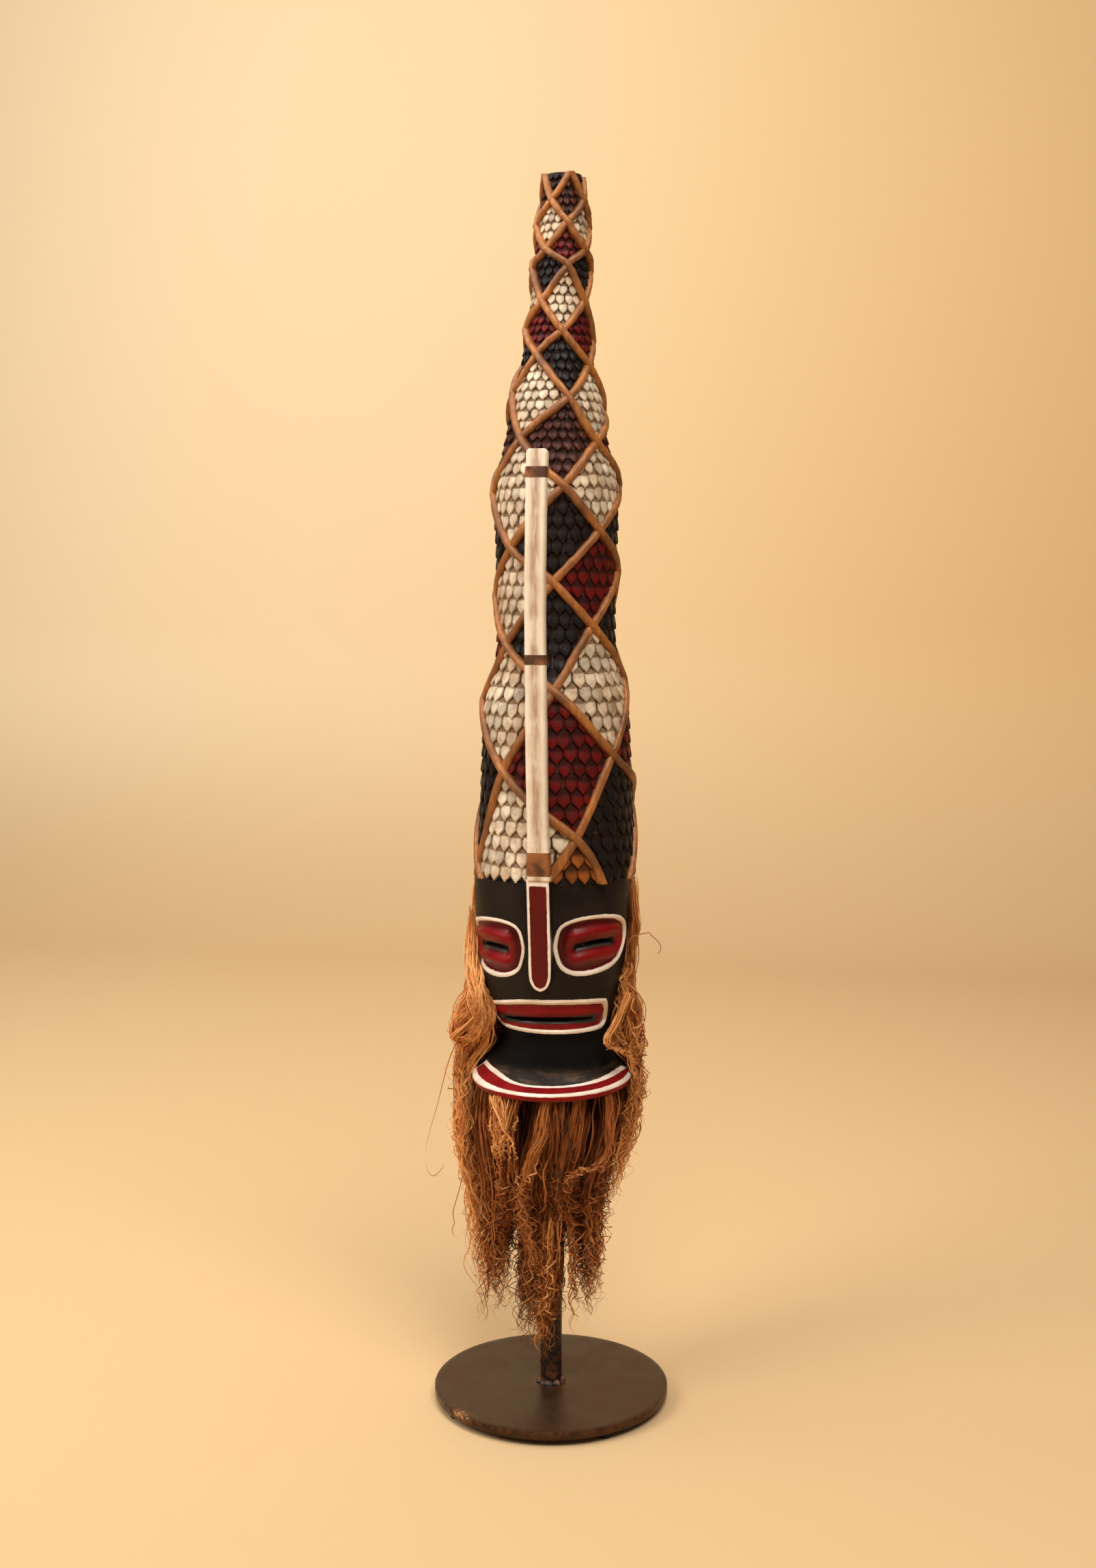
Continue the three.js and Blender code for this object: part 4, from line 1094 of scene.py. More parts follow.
# %% Bar paint
def bar_paint():
    made, tree, sockets = new_material("bar paint")
    brushed = use(tree, BRUSHED, Scale=30.0)
    grain = use(tree, GRAIN, Scale=34.0)
    middle = ramp(tree, mark(tree, "middle"), 0.75, 0.1)
    rubbed = times(tree, middle, ramp(tree, grain["Height"], 0.3, 0.6))
    cream = blend(tree, times(tree, brushed["Patches"], 0.45), colour("ecdcc4"), colour("cdb292"))
    cream = blend(tree, times(tree, rubbed, 0.8), cream, colour("9a6c42"))
    wood = blend(tree, grain["Patches"], colour("96592b"), colour("4d2b14"))
    waver = sums(tree, "MULTIPLY_ADD", brushed["Height"], 2.0, -1.0)
    band = sums(tree, "ADD", mark(tree, "band"), waver)
    fill(tree, sockets, {
        "Base Color": dusty(tree, blend(tree, ramp(tree, band, 0.4, -0.4), cream, wood), 0.03),
        "Roughness": ramp(tree, grain["Grain"], 0.0, 1.0, 0.45, 0.62),
        "Normal": bump(tree, grain["Height"], 0.45, 0.001),
    })
    return made


# %% Sizes of the bar
BAR_X, BAR_TOP = 3.0, 1119.0
BAR_START = NOSE_TOP - 7         # it begins inside the nose
BAR_WIDE, BAR_NARROW = 26.4, 23.0          # its width at its foot, and all the way up from a sixth of it
BAR_HALF_DEPTH, BAR_CORNER = 8.0, 3.0
BAR_BOW, BAR_SWAY = 14, 2.5      # it bows forward and to the left by these
BAND_PROUD = 0.7
ROUNDED_FROM, ROUNDED_BY = 1114, 2.6       # its end is rounded from here up, by so much
BANDS = [[647, 674], [884, 895], [1088, 1100]]

# %% Bar
bar_heights = np.concatenate([np.arange(641, 1113, 3.0), [1114, 1116, 1117.6, 1118.6, BAR_TOP]])
corner_turns = np.radians([0, 22.5, 45, 67.5, 90])
rows = []
for z in bar_heights:
    t = (z - BAR_START) / (BAR_TOP - BAR_START)
    half = mix(BAR_WIDE, BAR_NARROW, min(1.0, t * 6)) / 2
    half *= 1 + 0.025 * float(wander(np.array(z * 0.02), 8))
    band = min(max(low - z, z - high) for low, high in BANDS)
    half += BAND_PROUD * float(smooth(-band / 1.5))
    half -= ROUNDED_BY * max(0.0, (z - ROUNDED_FROM) / (BAR_TOP - ROUNDED_FROM)) ** 2
    inner_x, inner_y = half - BAR_CORNER, BAR_HALF_DEPTH - BAR_CORNER
    quarter = [[inner_x + BAR_CORNER * math.cos(a), inner_y + BAR_CORNER * math.sin(a)] for a in corner_turns]
    flat = [[x, BAR_HALF_DEPTH] for x in np.linspace(inner_x, -inner_x, 9)[1:-1]]
    upper = quarter + flat + [[-x, y] for x, y in reversed(quarter)]
    ring = np.array(upper + [[-x, -y] for x, y in upper])
    x = BAR_X - BAR_SWAY * math.sin(math.pi * t) + 0.5 * float(wander(np.array(z * 0.03), 3))
    y = MASK_Y - NOSE_FRONT_HIGH + BAR_HALF_DEPTH - BAR_BOW * math.sin(math.pi * 0.55 * t)
    off_middle = np.abs(ring[:, 0]) / half
    rows.append(np.column_stack([x + ring[:, 0], y + ring[:, 1], np.full(len(ring), z), off_middle]))
rows = np.array(rows)
bands = np.min([np.maximum(low - rows[..., 2], rows[..., 2] - high) for low, high in BANDS], axis=0)
bar = Pile("middle", "band")
bar.add(rows[..., :3], closed=True, caps=True, middle=rows[..., 3], band=bands)
bar_piece = bar.piece("nose_bar", bar_paint(), "painted_wood")
for piece in (crown_block, lattice, head_piece, nose_piece, bar_piece):
    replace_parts(piece, "mask_carving")

# %% [markdown]
# ## Raffia
#
# The hair and the beard are several thousand dry palm fibres, tied on in locks. Thin wisps hang from under
# the crown's foot, and thick wavy clumps begin at the height of the cheeks. Fibres of a lock keep together
# and wave together, and come apart and curl near their ends. So each lock is a guide line, and each fibre is
# a flat ribbon, as raffia is, that twists, keeps its own place beside the guide and swings about on its own.
# Marks for the tone of a fibre and the place along it give the colour its variety.

# %% Raffia material
def raffia_material():
    made, tree, sockets = new_material("dry raffia")
    tone = mark(tree, "tone")
    fibre = blend(tree, ramp(tree, tone, 0.0, 0.45), colour("3d1805"), colour("9c5420"))
    fibre = blend(tree, ramp(tree, tone, 0.4, 1.15), fibre, colour("f2ab62"))
    streak = noise(tree, own_place(tree), 220.0, 2.0)
    fibre = blend(tree, ramp(tree, streak, 0.5, 0.85, 0.0, 0.4), fibre, colour("3a1a08"))
    loose_end = ramp(tree, mark(tree, "along"), 0.6, 1.0, 0.0, 0.2)
    fill(tree, sockets, {
        "Base Color": blend(tree, loose_end, fibre, colour("b0733a")),
        "Roughness": ramp(tree, streak, 0.2, 0.8, 0.45, 0.7),
        "Specular IOR Level": 0.35,
    })
    return made


RAFFIA = raffia_material()

# %% Strands
STEPS = 40                       # points along a fibre
# Shares of a fibre's length at which its points lie, closer together towards its loose end.
FIBRE = 1 - (1 - np.linspace(0, 1, STEPS)) ** 1.45
FIBRE_WIDTHS = (0.9, 2.3)
TURN = 2 * math.pi


def ribbon_grids(paths, width, rng):
    """Flat ribbons along paths of shape (fibres, points, 3), which twist and grow thin towards their ends."""
    along = np.gradient(paths, axis=1)
    along /= np.linalg.norm(along, axis=2)[..., None] + 1e-9
    helper = np.zeros_like(along)
    helper[..., 0], helper[..., 1] = 0.6, -0.8
    side = np.cross(along, helper)
    side /= np.linalg.norm(side, axis=2)[..., None] + 1e-9
    other = np.cross(along, side)
    twist = rng.uniform(0, math.pi, (len(paths), 1)) + rng.normal(0, 5, (len(paths), 1)) * FIBRE[None]
    flat = side * np.cos(twist)[..., None] + other * np.sin(twist)[..., None]
    taper = np.clip(np.minimum(FIBRE * 12, (1 - FIBRE) * 5) + 0.2, 0, 1)
    half = width[:, None, None] * taper[None, :, None] / 2
    return np.stack([paths - flat * half, paths + flat * half], axis=2)


def swing(count, rng, low, high):
    """Smooth sideways swings with a rate between low and high waves a fibre, as (fibres, points, 3)."""
    rate = rng.uniform(low, high, (count, 1, 3))
    phase = rng.uniform(0, TURN, (count, 1, 3))
    total = np.sin(TURN * rate * FIBRE[None, :, None] + phase)
    total[..., 2] *= 0.35
    return total * np.minimum(1, FIBRE * 7)[None, :, None]


def follow(guides, shares):
    """Points on smooth curves through the bends of guide lines, at shares of their length."""
    last = guides.shape[1] - 1
    place = shares * last
    start = np.minimum(place.astype(int), last - 1)
    t = (place - start)[..., None]
    line = np.arange(len(guides))[:, None]
    a, b, c, d = (guides[line, np.clip(start + step, 0, last)] for step in (-1, 0, 1, 2))
    return b + t * (c - a + t * (2 * a - 5 * b + 4 * c - d + t * (3 * b - a - 3 * c + d))) / 2


def lock_fibres(guides, rng, per_lock, spread, wave, stray, curl, shortest=0.5):
    """Fibres of locks. Spread is a lock's radius, wave swings it whole, stray and curl move each fibre."""
    locks = len(guides)
    count = locks * per_lock
    guides = guides[:, None].repeat(per_lock, axis=1).reshape(count, *guides.shape[1:])
    length = rng.uniform(shortest, 1.0, (count, 1))
    paths = follow(guides, FIBRE[None] * length)
    paths += np.repeat(swing(locks, rng, 1.2, 3.6), per_lock, axis=0) * wave
    turn = rng.uniform(0, TURN, (count, 1)) + rng.normal(0, 1.4, (count, 1)) * FIBRE[None]
    loose = rng.uniform(0, 1, (count, 1)) ** 2.5
    off = np.sqrt(rng.uniform(0, 1, (count, 1))) * spread * (0.8 + 1.5 * loose)
    paths[..., 0] += off * np.cos(turn)
    paths[..., 1] += off * np.sin(turn)
    # A few fibres are far freer than the rest, and all are freer towards their ends.
    freedom = (0.35 + 2.0 * loose)[..., None]
    ends = smooth((FIBRE - 0.5) / 0.5)[None, :, None]
    paths += swing(count, rng, 1.5, 4.0) * stray * freedom * (0.35 + 0.65 * ends)
    paths += swing(count, rng, 4.0, 7.0) * curl * 0.6 * freedom * (0.3 + 0.7 * ends)
    paths += swing(count, rng, 8, 14) * curl * 2.2 * ends * (0.5 + freedom)
    tone = 0.45 * np.repeat(rng.uniform(0, 1, locks), per_lock) + 0.55 * rng.uniform(0, 1, count)
    return paths, tone


def off_rod(paths, radius=15.0):
    """Moves points of fibres out of the rod."""
    reach = np.hypot(paths[..., 0], paths[..., 1])
    push = np.maximum(1, radius / np.maximum(reach, 1e-3))
    return paths * np.stack([push, push, np.ones_like(push)], axis=-1)


def raffia_piece(name, node, paths, tone, rng):
    """One piece of many fibres. The tone is given for each fibre, or for each of its points."""
    width = rng.uniform(*FIBRE_WIDTHS, len(paths))
    tone = tone[..., None] if tone.ndim == 2 else tone[:, None, None]
    pile = Pile("tone", "along")
    pile.add(ribbon_grids(off_rod(paths), width, rng), tone=tone, along=FIBRE[None, :, None])
    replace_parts(pile.piece(name, RAFFIA, "raffia"), node)


# %% [markdown]
# ## The beard
#
# The beard is tied on under the collar, all round the rod. It is full down to about the middle of its length,
# and then parts into three tails. Some places in front are open, so one looks into the dark between the
# locks. A few bundles hang in front of the rest: a short pale one, one that slants, one that loops, and one
# that runs down the middle tail.

# %% Where the beard hangs
LOCKS, PER_LOCK = 130, 12        # locks in a piece of beard or hair, and fibres in a lock
BEARD_TOP, ROOTS_RADIUS = 386.0, 84.0
# Height, radius of the beard and the middle of it along X and Y.
BEARD_ROWS = [[215, 60, -17, 4], [250, 73, -12, 8], [300, 84, -8, 10], [350, 91, -3, 12], [386, 88, -1, 12]]
beard_radius, beard_x, beard_y = (profile(BEARD_ROWS, column) for column in (1, 2, 3))
# Tails: middle where they part, middle of the foot, radius where they part and at the foot, lowest height.
TAILS = {
    "left": ((-69, -2), (-76, -4), 24, 23, 76), "middle": ((-9, -8), (-15, -14), 25, 17, 50),
    "right": ((42, -2), (48, -4), 24, 25, 80),
}
PARTING = 268.0
LEFT_OF, RIGHT_OF = -42, 22      # a lock that hangs beyond these along X belongs to a tail at the side
# Openings in the front of the beard: middle and half width along X.
OPENINGS = [(-66, 6), (-18, 15), (62, 15)]
OPEN_SHARE = 0.88                # this share of the locks that would hang there is left out


# %% The beard's locks
def beard_guides(count, rng):
    """Guide lines of the beard's locks, and how far out each one lies."""
    guides, depths = [], []
    while len(guides) < count:
        azimuth = rng.uniform(-180, 180)
        depth = rng.uniform(0.12, 1) ** 0.6
        root = around(azimuth, depth * ROOTS_RADIUS, BEARD_TOP, FACE_X)
        at_opening = any(abs(root[0] - middle) < half for middle, half in OPENINGS)
        if root[1] < MASK_Y - 45 and at_opening and rng.uniform() < OPEN_SHARE:
            continue
        level = np.array([BEARD_TOP, 362, 335, 300, PARTING])
        drift = rng.normal(0, 8) * (BEARD_TOP - level) / 124
        turn = np.radians(azimuth + drift)
        reach = depth * (beard_radius(level) - 3)
        x = beard_x(level) + reach * np.sin(turn)
        y = beard_y(level) - reach * np.cos(turn)
        hangs_at = x[-1] + rng.normal(0, 7)
        tail = "left" if hangs_at < LEFT_OF else "right" if hangs_at > RIGHT_OF else "middle"
        (x1, y1), (x2, y2), radius, foot_radius, lowest = TAILS[tail]
        u = np.clip((x[-1] - x1) / (radius + 6), -1, 1)
        v = np.clip((y[-1] - beard_y(PARTING)) / 72, -1, 1)
        size = max(1.0, math.hypot(u, v))
        length = rng.uniform(0.7, 1) if tail == "middle" else rng.uniform(0.1, 1) ** 0.7
        end = mix(PARTING, lowest, length)
        down = mix(PARTING, end, np.linspace(0.2, 1, 5))
        share = (PARTING - down) / (PARTING - lowest)
        tail_radius = mix(radius, foot_radius, share**0.8)
        settle = smooth(share * 3.4)
        tail_x = mix(x1, x2, share) + u / size * tail_radius
        tail_y = mix(y1, y2, share) + v / size * tail_radius
        points = list(zip(x, y, level))
        points += list(zip(mix(x[-1], tail_x, settle), mix(y[-1], tail_y, settle), down))
        guides.append(points)
        depths.append(depth)
    return np.array(guides), np.array(depths)


# %% Beard
rng = np.random.default_rng(71)
for number in range(2):
    guides, depths = beard_guides(LOCKS, rng)
    paths, tone = lock_fibres(guides, rng, PER_LOCK, 4.6, 1.2, 2.4, 1.7, 0.4)
    # Painted shade and light: locks deep inside are painted dark, and the tails are painted brighter than
    # the body of the beard, as if they caught more light.
    painted_inner_shade = np.repeat(mix(0.1, 1, depths**2), PER_LOCK)
    lit = 0.8 + 0.5 * smooth((255 - paths[..., 2]) / 90)
    raffia_piece(f"beard_{number + 1}", "raffia_beard", paths, (tone * painted_inner_shade)[:, None] * lit, rng)


# %% Bundles in front of the beard
def bundle(name, node, points, count, spread, wave, stray, curl, tone_low, tone_high):
    """One lock along a few points, lighter or darker than the rest."""
    paths, tone = lock_fibres(np.array([points], float), rng, count, spread, wave, stray, curl)
    raffia_piece(name, node, paths, mix(tone_low, tone_high, tone), rng)


bundle("short_bundle", "raffia_beard", [(-45, -60, 386), (-44, -64, 360), (-43, -66, 335), (-42, -64, 306)],
       110, 9.0, 0.6, 1.0, 0.5, 0.7, 1.0)
bundle("slanting_lock", "raffia_beard",
       [(10, -70, 386), (2, -72, 345), (-14, -70, 300), (-24, -62, 262), (-20, -48, 215), (-12, -38, 160)],
       70, 5.0, 1.5, 2.6, 1.5, 0.2, 0.95)
bundle("middle_tail", "raffia_beard",
       [(9, -36, 318), (7, -36, 262), (4, -32, 205), (-1, -27, 152), (-9, -22, 105), (-16, -18, 62)],
       90, 6.5, 1.2, 2.4, 1.4, 0.35, 1.0)
bundle("looped_lock", "raffia_beard",
       [(74, -40, 386), (76, -44, 350), (74, -48, 318), (62, -58, 303), (48, -62, 300), (34, -60, 288),
        (30, -52, 250)],
       40, 3.5, 1.0, 2.2, 1.2, 0.3, 0.9)

# %% [markdown]
# ## The hair
#
# The hair goes round the back and the sides. On the left it sweeps forward over the cheek at the height of
# the mouth and back again, and there it is at its thickest. Its place is worked out from rows of sizes that
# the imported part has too: the inner and the outer side of the curtain at each height.

# %% Where the hair hangs
# Height, inner radius beside and behind the face, outer radius, its middle along X, azimuth of the left end.
HAIR_ROWS = [
    [160, 70, 70, 78, -20, 83], [200, 72, 72, 82, -21, 83], [255, 81, 81, 96, -15.5, 83],
    [320, 93, 93, 107, -14, 83], [382, 98, 98, 110, -10, 83], [400, 98, 98, 111, -9.6, 83],
    [410, 88, 96, 111.5, -9.5, 80], [425, 79, 89, 112.5, -8, 74], [450, 70, 80, 113, -6.5, 50],
    [478, 78.5, 88, 109, -6.5, 50], [512, 84.5, 91.5, 103.5, -5, 60], [545, 92, 93, 102, -3.6, 84],
    [636, 92.5, 92.5, 101.6, -4, 84],
]
HAIR_INNER_X = [[160, -22], [255, -12], [320, -7], [382, -1], [636, -1]]
beside, behind, hair_outer, hair_x, left_end = (profile(HAIR_ROWS, column) for column in range(1, 6))
hair_inner_x = profile(HAIR_INNER_X)
HAIR_START, HAIR_FOOT, FOOT_SLOPE = 83.0, 200.0, 42.0
HAIR_TOP, WISPS_LOWER = 636, 70  # the wisps at the sides begin up to this much lower than those behind
CLUMPS_FROM = (490, 542)         # the thick clumps begin between these heights
CLUMP_SWELL = 46                 # height over which they swell out to their full depth
# The curtain stands a little further back where it passes behind the two tips of the collar.
right_back = profile([[160, 0], [360, 1], [388, 8], [415, 8], [440, 2], [636, 2]])
left_back = profile([[160, 0], [382, 0], [403, 12], [425, 12], [450, 6], [484, 0], [636, 0]])


# %% The hair's locks
def hair_place(share, depth, z):
    """A place in the curtain: share goes round from the right end to the left end, depth outwards."""
    forward = (HAIR_START - left_end(z) - left_back(z)) * smooth((share - 0.7) / 0.3)
    back_step = right_back(z) * smooth((0.3 - share) / 0.3)
    azimuth = mix(HAIR_START + 1, 359 - HAIR_START, share) + forward + back_step
    back = smooth((np.minimum(azimuth, 360 - azimuth) - 105) / 30)
    inner = around(azimuth, mix(beside(z), behind(z), back) + 2, z, hair_inner_x(z))
    outer = around(azimuth, hair_outer(z) - 2, z, hair_x(z))
    return mix(inner, outer, np.asarray(depth)[..., None])


def hair_guides(count, rng):
    """Guide lines of the wisps from under the crown, and of the clumps that begin at the cheeks."""
    guides = []
    for n in range(count):
        share = (n + rng.uniform(0, 1)) / count
        at_side = smooth(abs(share - 0.5) * 4 - 1.1)
        wisp = rng.uniform() > mix(0.3, 0.95, at_side)
        start = HAIR_TOP - WISPS_LOWER * at_side * rng.uniform(0, 1) if wisp else rng.uniform(*CLUMPS_FROM)
        azimuth = mix(HAIR_START, 360 - HAIR_START, share)
        foot = HAIR_FOOT + FOOT_SLOPE * math.sin(math.radians(azimuth)) + rng.uniform(-50, 60)
        level = mix(start, foot, np.linspace(0, 1, 13) ** (1.0 if wisp else 1.5))
        depth = rng.uniform(0.1, 0.7 if wisp else 1)
        gone = start - level
        reach = depth * (1.0 if wisp else smooth(gone / CLUMP_SWELL))
        reach = reach + 0.16 * np.sin(level / 21 + rng.uniform(0, 6.28))
        roam = 0.012 * np.sin(level / 30 + rng.uniform(0, 6.28)) + rng.normal(0, 0.012) * gone / 200
        guides.append(hair_place(np.clip(share + roam, 0, 1), np.clip(reach, 0, 1), level))
    return np.array(guides)


# %% Hair
for number in range(2):
    paths, tone = lock_fibres(hair_guides(LOCKS, rng), rng, PER_LOCK, 3.6, 3.4, 2.6, 1.4)
    # Painted light: the left side and the loose lower part are painted paler, as if better lit. What sweeps
    # forward over the cheek is darker.
    paler = 0.26 * smooth((20 - paths[..., 0]) / 60) + 0.32 * smooth((400 - paths[..., 2]) / 140)
    swept = 0.4 * smooth((-36 - paths[..., 1]) / 24)
    tone = 0.38 + 0.62 * tone[:, None] + paler - swept
    raffia_piece(f"hair_{number + 1}", "raffia_hair", paths, tone, rng)

# %% The light curl beside the neck
bundle("neck_curl", "raffia_hair",
       [(95, -20, 502), (87, -26, 481), (79, -31, 462), (72, -34, 449), (76, -35, 441), (86, -32, 437),
        (96, -26, 431), (103, -18, 416), (105, -10, 392)],
       34, 3.2, 0.6, 1.6, 0.8, 0.75, 1.0)

# %% Stray fibres
# Each row is one long fibre that stands off from the rest.
STRAYS = [
    [(-104, -10, 445), (-124, -14, 405), (-138, -18, 350), (-146, -20, 300), (-143, -20, 268),
     (-128, -16, 285)],
    [(92, -20, 556), (104, -24, 570), (118, -26, 574), (128, -26, 566), (132, -26, 552), (130, -26, 548)],
    [(-104, 0, 300), (-112, -6, 240), (-118, -8, 215), (-120, -8, 205), (-116, -6, 195), (-112, -6, 190)],
    [(96, 0, 420), (102, -6, 390), (105, -8, 360), (106, -8, 340), (104, -8, 330), (100, -8, 320)],
]
paths = follow(np.array(STRAYS, float), np.tile(FIBRE, (len(STRAYS), 1)))
paths += swing(len(STRAYS), rng, 1.0, 3.0) * 2.5
raffia_piece("stray_fibres", "raffia_hair", paths, np.full(len(STRAYS), 0.5), rng)

# %% [markdown]
# ## The stand
#
# The rod is blackened steel, and is welded to a thick brown plate on four small feet. The weld has left a
# rough collar with rust in it. The plate's edge is rubbed to a reddish brown, and its paint has chipped off
# at one place on the rim.

# %% Steel
def steel(name, dark, light, metal, rough):
    """Steel or rubber of two tones, with rust and chipped paint where the points of the mesh say so."""
    made, tree, sockets = new_material(name)
    brushed = use(tree, BRUSHED, Scale=22.0)
    where, rust = own_place(tree), mark(tree, "rust")
    spots = ramp(tree, noise(tree, where, 110.0, 6.0, 0.7), 0.42, 0.58)
    paint = blend(tree, brushed["Patches"], dark, light)
    paint = blend(tree, times(tree, rust, spots), paint, colour("6f4426"))
    # Where the mark is above one the paint has chipped off in small pale flakes.
    flakes = ramp(tree, noise(tree, where, 210.0, 4.0, 0.7), 0.5, 0.56)
    paint = blend(tree, times(tree, ramp(tree, rust, 0.9, 1.5), flakes), paint, colour("b28a5e"))
    fill(tree, sockets, {
        "Base Color": dusty(tree, paint, 0.02),
        "Metallic": metal,
        "Specular IOR Level": 0.35,
        "Roughness": ramp(tree, brushed["Patches"], 0.0, 1.0, rough, rough + 0.12),
        "Normal": bump(tree, brushed["Height"], 0.25, 0.0008),
    })
    return made


ROD_STEEL = steel("black steel", colour("0b0908"), colour("171310"), 0.0, 0.4)
PLATE_STEEL = steel("brown steel", colour("2c190d"), colour("3f2615"), 0.45, 0.32)
FOOT_RUBBER = steel("foot rubber", colour("12100e"), colour("1d1a17"), 0.0, 0.7)

# %% Plate and rod
plate_low, plate_high = node_box("stand_plate")
PLATE_RADIUS, PLATE_BASE, PLATE_TOP = plate_high[0], plate_low[2], plate_high[2]
ROD_RADIUS, _, ROD_END = node_box("stand_rod")[1]
PLATE_EDGE, PLATE_EDGE_MIDDLE = 1.4, 0.4   # size of its broken edge, and how far that is cut in half way
PLATE_SIDES, ROD_SIDES, ROD_RINGS, FOOT_SIDES = 144, 48, 24, 32
# The chipped patch on the rim at the front left: azimuth and width in degrees, and strength.
PATCH_TURN, PATCH_WIDTH, PATCH_STRENGTH = -39.0, 7.0, 1.6


def turned_piece(name, pairs, sides, material, slot, node, x=0.0, y=0.0, rust=0.0):
    """A piece turned round an upright axis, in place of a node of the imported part."""
    pile = Pile("rust")
    pile.add(lathe(pairs, sides, x, y), closed=True, caps=True, rust=rust)
    piece = pile.piece(name, material, slot)
    piece.data.set_sharp_from_angle(angle=math.radians(40))
    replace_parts(piece, node)


# Some rings of the flat top are there only to carry the marks.
plate_pairs = [
    [1, PLATE_BASE], [PLATE_RADIUS - PLATE_EDGE, PLATE_BASE],
    [PLATE_RADIUS - PLATE_EDGE_MIDDLE, PLATE_BASE + PLATE_EDGE_MIDDLE],
    [PLATE_RADIUS, PLATE_BASE + PLATE_EDGE], [PLATE_RADIUS, PLATE_TOP - PLATE_EDGE],
    [PLATE_RADIUS - PLATE_EDGE_MIDDLE, PLATE_TOP - PLATE_EDGE_MIDDLE], [PLATE_RADIUS - PLATE_EDGE, PLATE_TOP],
    [PLATE_RADIUS - 7, PLATE_TOP], [PLATE_RADIUS - 14, PLATE_TOP], [30, PLATE_TOP], [16, PLATE_TOP],
    [1, PLATE_TOP],
]
# Marks for each ring: rust shows thinly round the rim and at the weld, and the paint is chipped at the rim.
rim = np.array([0, 0, 0, 0.05, 0.5, 0.45, 0.2, 0, 0, 0, 0.5, 0.5])[:, None]
chipped = np.array([0, 0, 0, 0.5, 1, 1, 1, 0.8, 0, 0, 0, 0])[:, None]
plate_turns = np.arange(PLATE_SIDES) * 360 / PLATE_SIDES
patch = bell(plate_turns - 360, PATCH_TURN, PATCH_WIDTH)[None]
plate_rust = (rim + PATCH_STRENGTH * chipped * patch)[None]
turned_piece("plate", plate_pairs, PLATE_SIDES, PLATE_STEEL, "brown_steel", "stand_plate", rust=plate_rust)
rod_pairs = [[ROD_RADIUS, z] for z in np.linspace(PLATE_TOP + 0.3, ROD_END, ROD_RINGS)]
rod_rust = 0.8 * np.exp(-(np.linspace(0, 1, ROD_RINGS) * 30))[None, :, None]
turned_piece("rod", rod_pairs, ROD_SIDES, ROD_STEEL, "black_steel", "stand_rod", rust=rod_rust)

# %% Weld and feet
BEAD_SIDES, BEAD_WIDTH, BEAD_HEIGHT = 96, 5.0, 4.5
bead_turns = np.arange(BEAD_SIDES) * 360 / BEAD_SIDES
ripple = np.radians(bead_turns)
swell = 1 + 0.22 * wander(ripple * 6, 14) + 0.1 * wander(ripple * 17, 15)
bead = []
for t in np.linspace(0, 1, 7) * math.pi / 2:
    radius = ROD_RADIUS - 0.5 + BEAD_WIDTH * swell * math.cos(t)
    bead.append(around(bead_turns, radius, PLATE_TOP - 0.2 + BEAD_HEIGHT * swell * math.sin(t), 0, 0))
weld = Pile("rust")
weld.add(np.array(bead), closed=True, rust=1.0)
weld.piece("weld", ROD_STEEL, "black_steel")

for number in range(1, 5):
    node = f"stand_foot_{number}"
    low, high = node_box(node)
    x, y = (low[:2] + high[:2]) / 2
    radius = (high[0] - low[0]) / 2
    pairs = [[1, 0], [radius - 1.2, 0], [radius - 0.3, 0.4], [radius, 1.4], [radius, high[2] + 0.3]]
    turned_piece(f"foot_{number}", pairs, FOOT_SIDES, FOOT_RUBBER, "foot_rubber", node, x, y)

# %% [markdown]
# ## Floor, light and camera
#
# The object is lit as in a small studio: one broad soft light from the right and above, a weaker one from
# the left, and a pale sweep that runs up behind with a light of its own. The camera stands a little to the
# right of the front, looks slightly down, and has the lens that a fit of the base plate and the rod gave.

# %% Sweep
SWEEP_HALF, SWEEP_FRONT, SWEEP_TOP = 6000, -5000, 5200
BEND_START, BEND_RADIUS = 2600, 900        # where the paper leaves the floor, and how widely it bends up


def backdrop_with_painted_light():
    """Painted light and shade: paper paler on the left, warmer and darker on the right and on the floor."""
    made, tree, sockets = new_material("pale sweep with painted light")
    parts = put(tree, "ShaderNodeSeparateXYZ", {0: own_place(tree)}).outputs
    right = ramp(tree, parts["X"], -2.4, 1.4)
    wall = blend(tree, right, colour("fde6bd"), colour("e4c08b"))
    floor_painted_darker = blend(tree, right, colour("dfc092"), colour("dab889"))
    fill(tree, sockets, {
        "Base Color": blend(tree, ramp(tree, parts["Z"], 0.0, 0.8), floor_painted_darker, wall),
        "Roughness": 0.9,
        "Specular IOR Level": 0.1,
    })
    return made


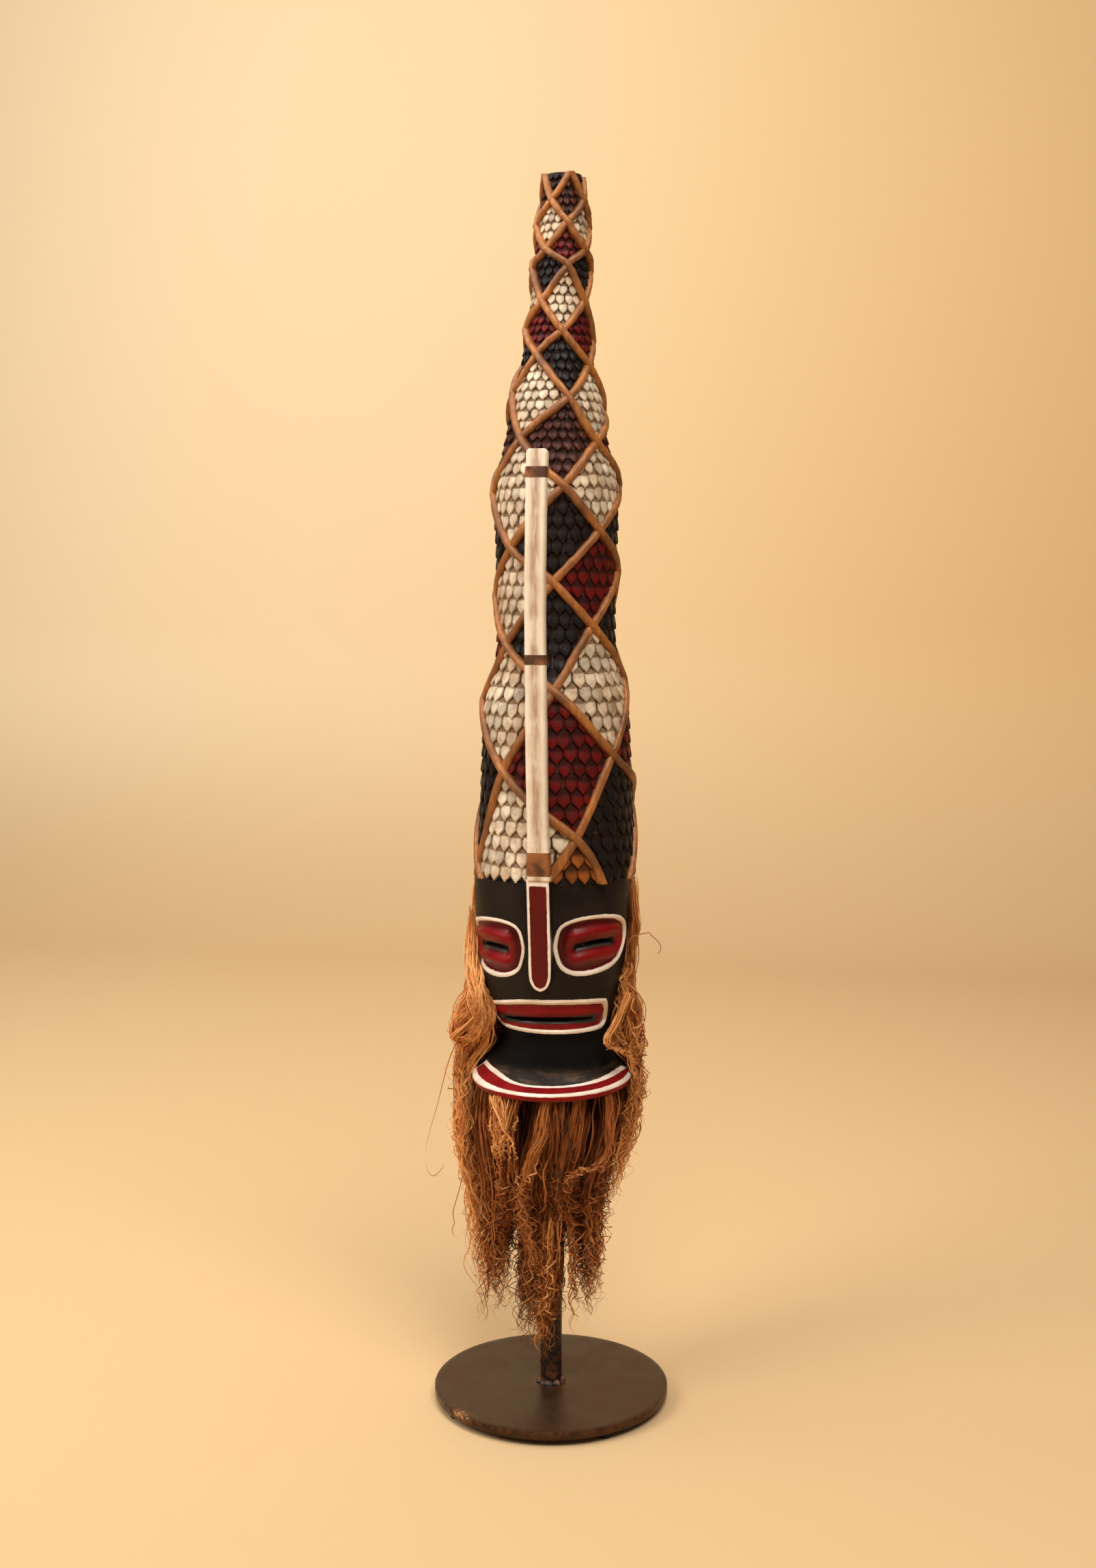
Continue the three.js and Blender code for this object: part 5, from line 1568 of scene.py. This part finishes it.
bend = [[BEND_START + BEND_RADIUS * math.sin(a), BEND_RADIUS - BEND_RADIUS * math.cos(a)]
        for a in np.radians(np.linspace(0, 90, 13))]
line = [[SWEEP_FRONT, 0]] + bend + [[BEND_START + BEND_RADIUS, SWEEP_TOP]]
sweep = Pile()
sweep.add(np.array([[[x, y, z] for x in np.linspace(-SWEEP_HALF, SWEEP_HALF, 3)] for y, z in line], float))
floor = bpy.data.objects.new("sweep", sweep.mesh("sweep"))
floor.data.materials.append(backdrop_with_painted_light())
bpy.context.scene.collection.objects.link(floor)

# %% Lights
# Name, place and aim in metres, width in metres, power in watts, tint.
LIGHTS = [
    ("key", (0.9, -1.9, 3.4), (0, 0, 0.8), 2.3, 106, (1.0, 0.96, 0.91)),
    ("fill", (-2.1, -1.7, 2.4), (0, 0, 0.7), 1.9, 60, (1.0, 0.96, 0.92)),
    ("wall", (-0.8, 0.5, 3.1), (-0.7, 3.4, 0.9), 3.0, 66, (1.0, 0.97, 0.95)),
]
for name, place_m, aim_m, size, power, tint in LIGHTS:
    light = bpy.data.lights.new(name, "AREA")
    light.shape, light.size, light.energy, light.color = "DISK", size, power, tint
    lamp = bpy.data.objects.new(name, light)
    bpy.context.scene.collection.objects.link(lamp)
    lamp.location = place_m
    x, y, z = np.array(aim_m, float) - np.array(place_m, float)
    lamp.rotation_euler = (math.acos(-z / np.linalg.norm([x, y, z])), 0, math.atan2(x, -y) + math.pi)

world = bpy.data.worlds.new("studio")
world.use_nodes = True
background = world.node_tree.nodes["Background"].inputs
background["Color"].default_value = colour("fff6ea")
background["Strength"].default_value = 0.12
bpy.context.scene.world = world
bpy.context.scene.view_settings.view_transform = "Standard"
print("lights:", [row[0] for row in LIGHTS])

# %% Camera
CAMERA_DISTANCE, CAMERA_HEIGHT = 2.1, 0.95129
CAMERA_TURN = math.radians(10)
LOOK_DOWN, LOOK_SIDE = 0.09953, 0.00176
SENSOR, LENS = 36.0, 41.466
camera_data = bpy.data.cameras.new("camera")
camera_data.sensor_width, camera_data.lens = SENSOR, LENS
camera_data.clip_end = 60.0
camera = bpy.data.objects.new("camera", camera_data)
bpy.context.scene.collection.objects.link(camera)
camera.location = (
    CAMERA_DISTANCE * math.sin(CAMERA_TURN), -CAMERA_DISTANCE * math.cos(CAMERA_TURN), CAMERA_HEIGHT)
camera.rotation_euler = (math.pi / 2 - LOOK_DOWN, 0, CAMERA_TURN + LOOK_SIDE)
bpy.context.scene.camera = camera
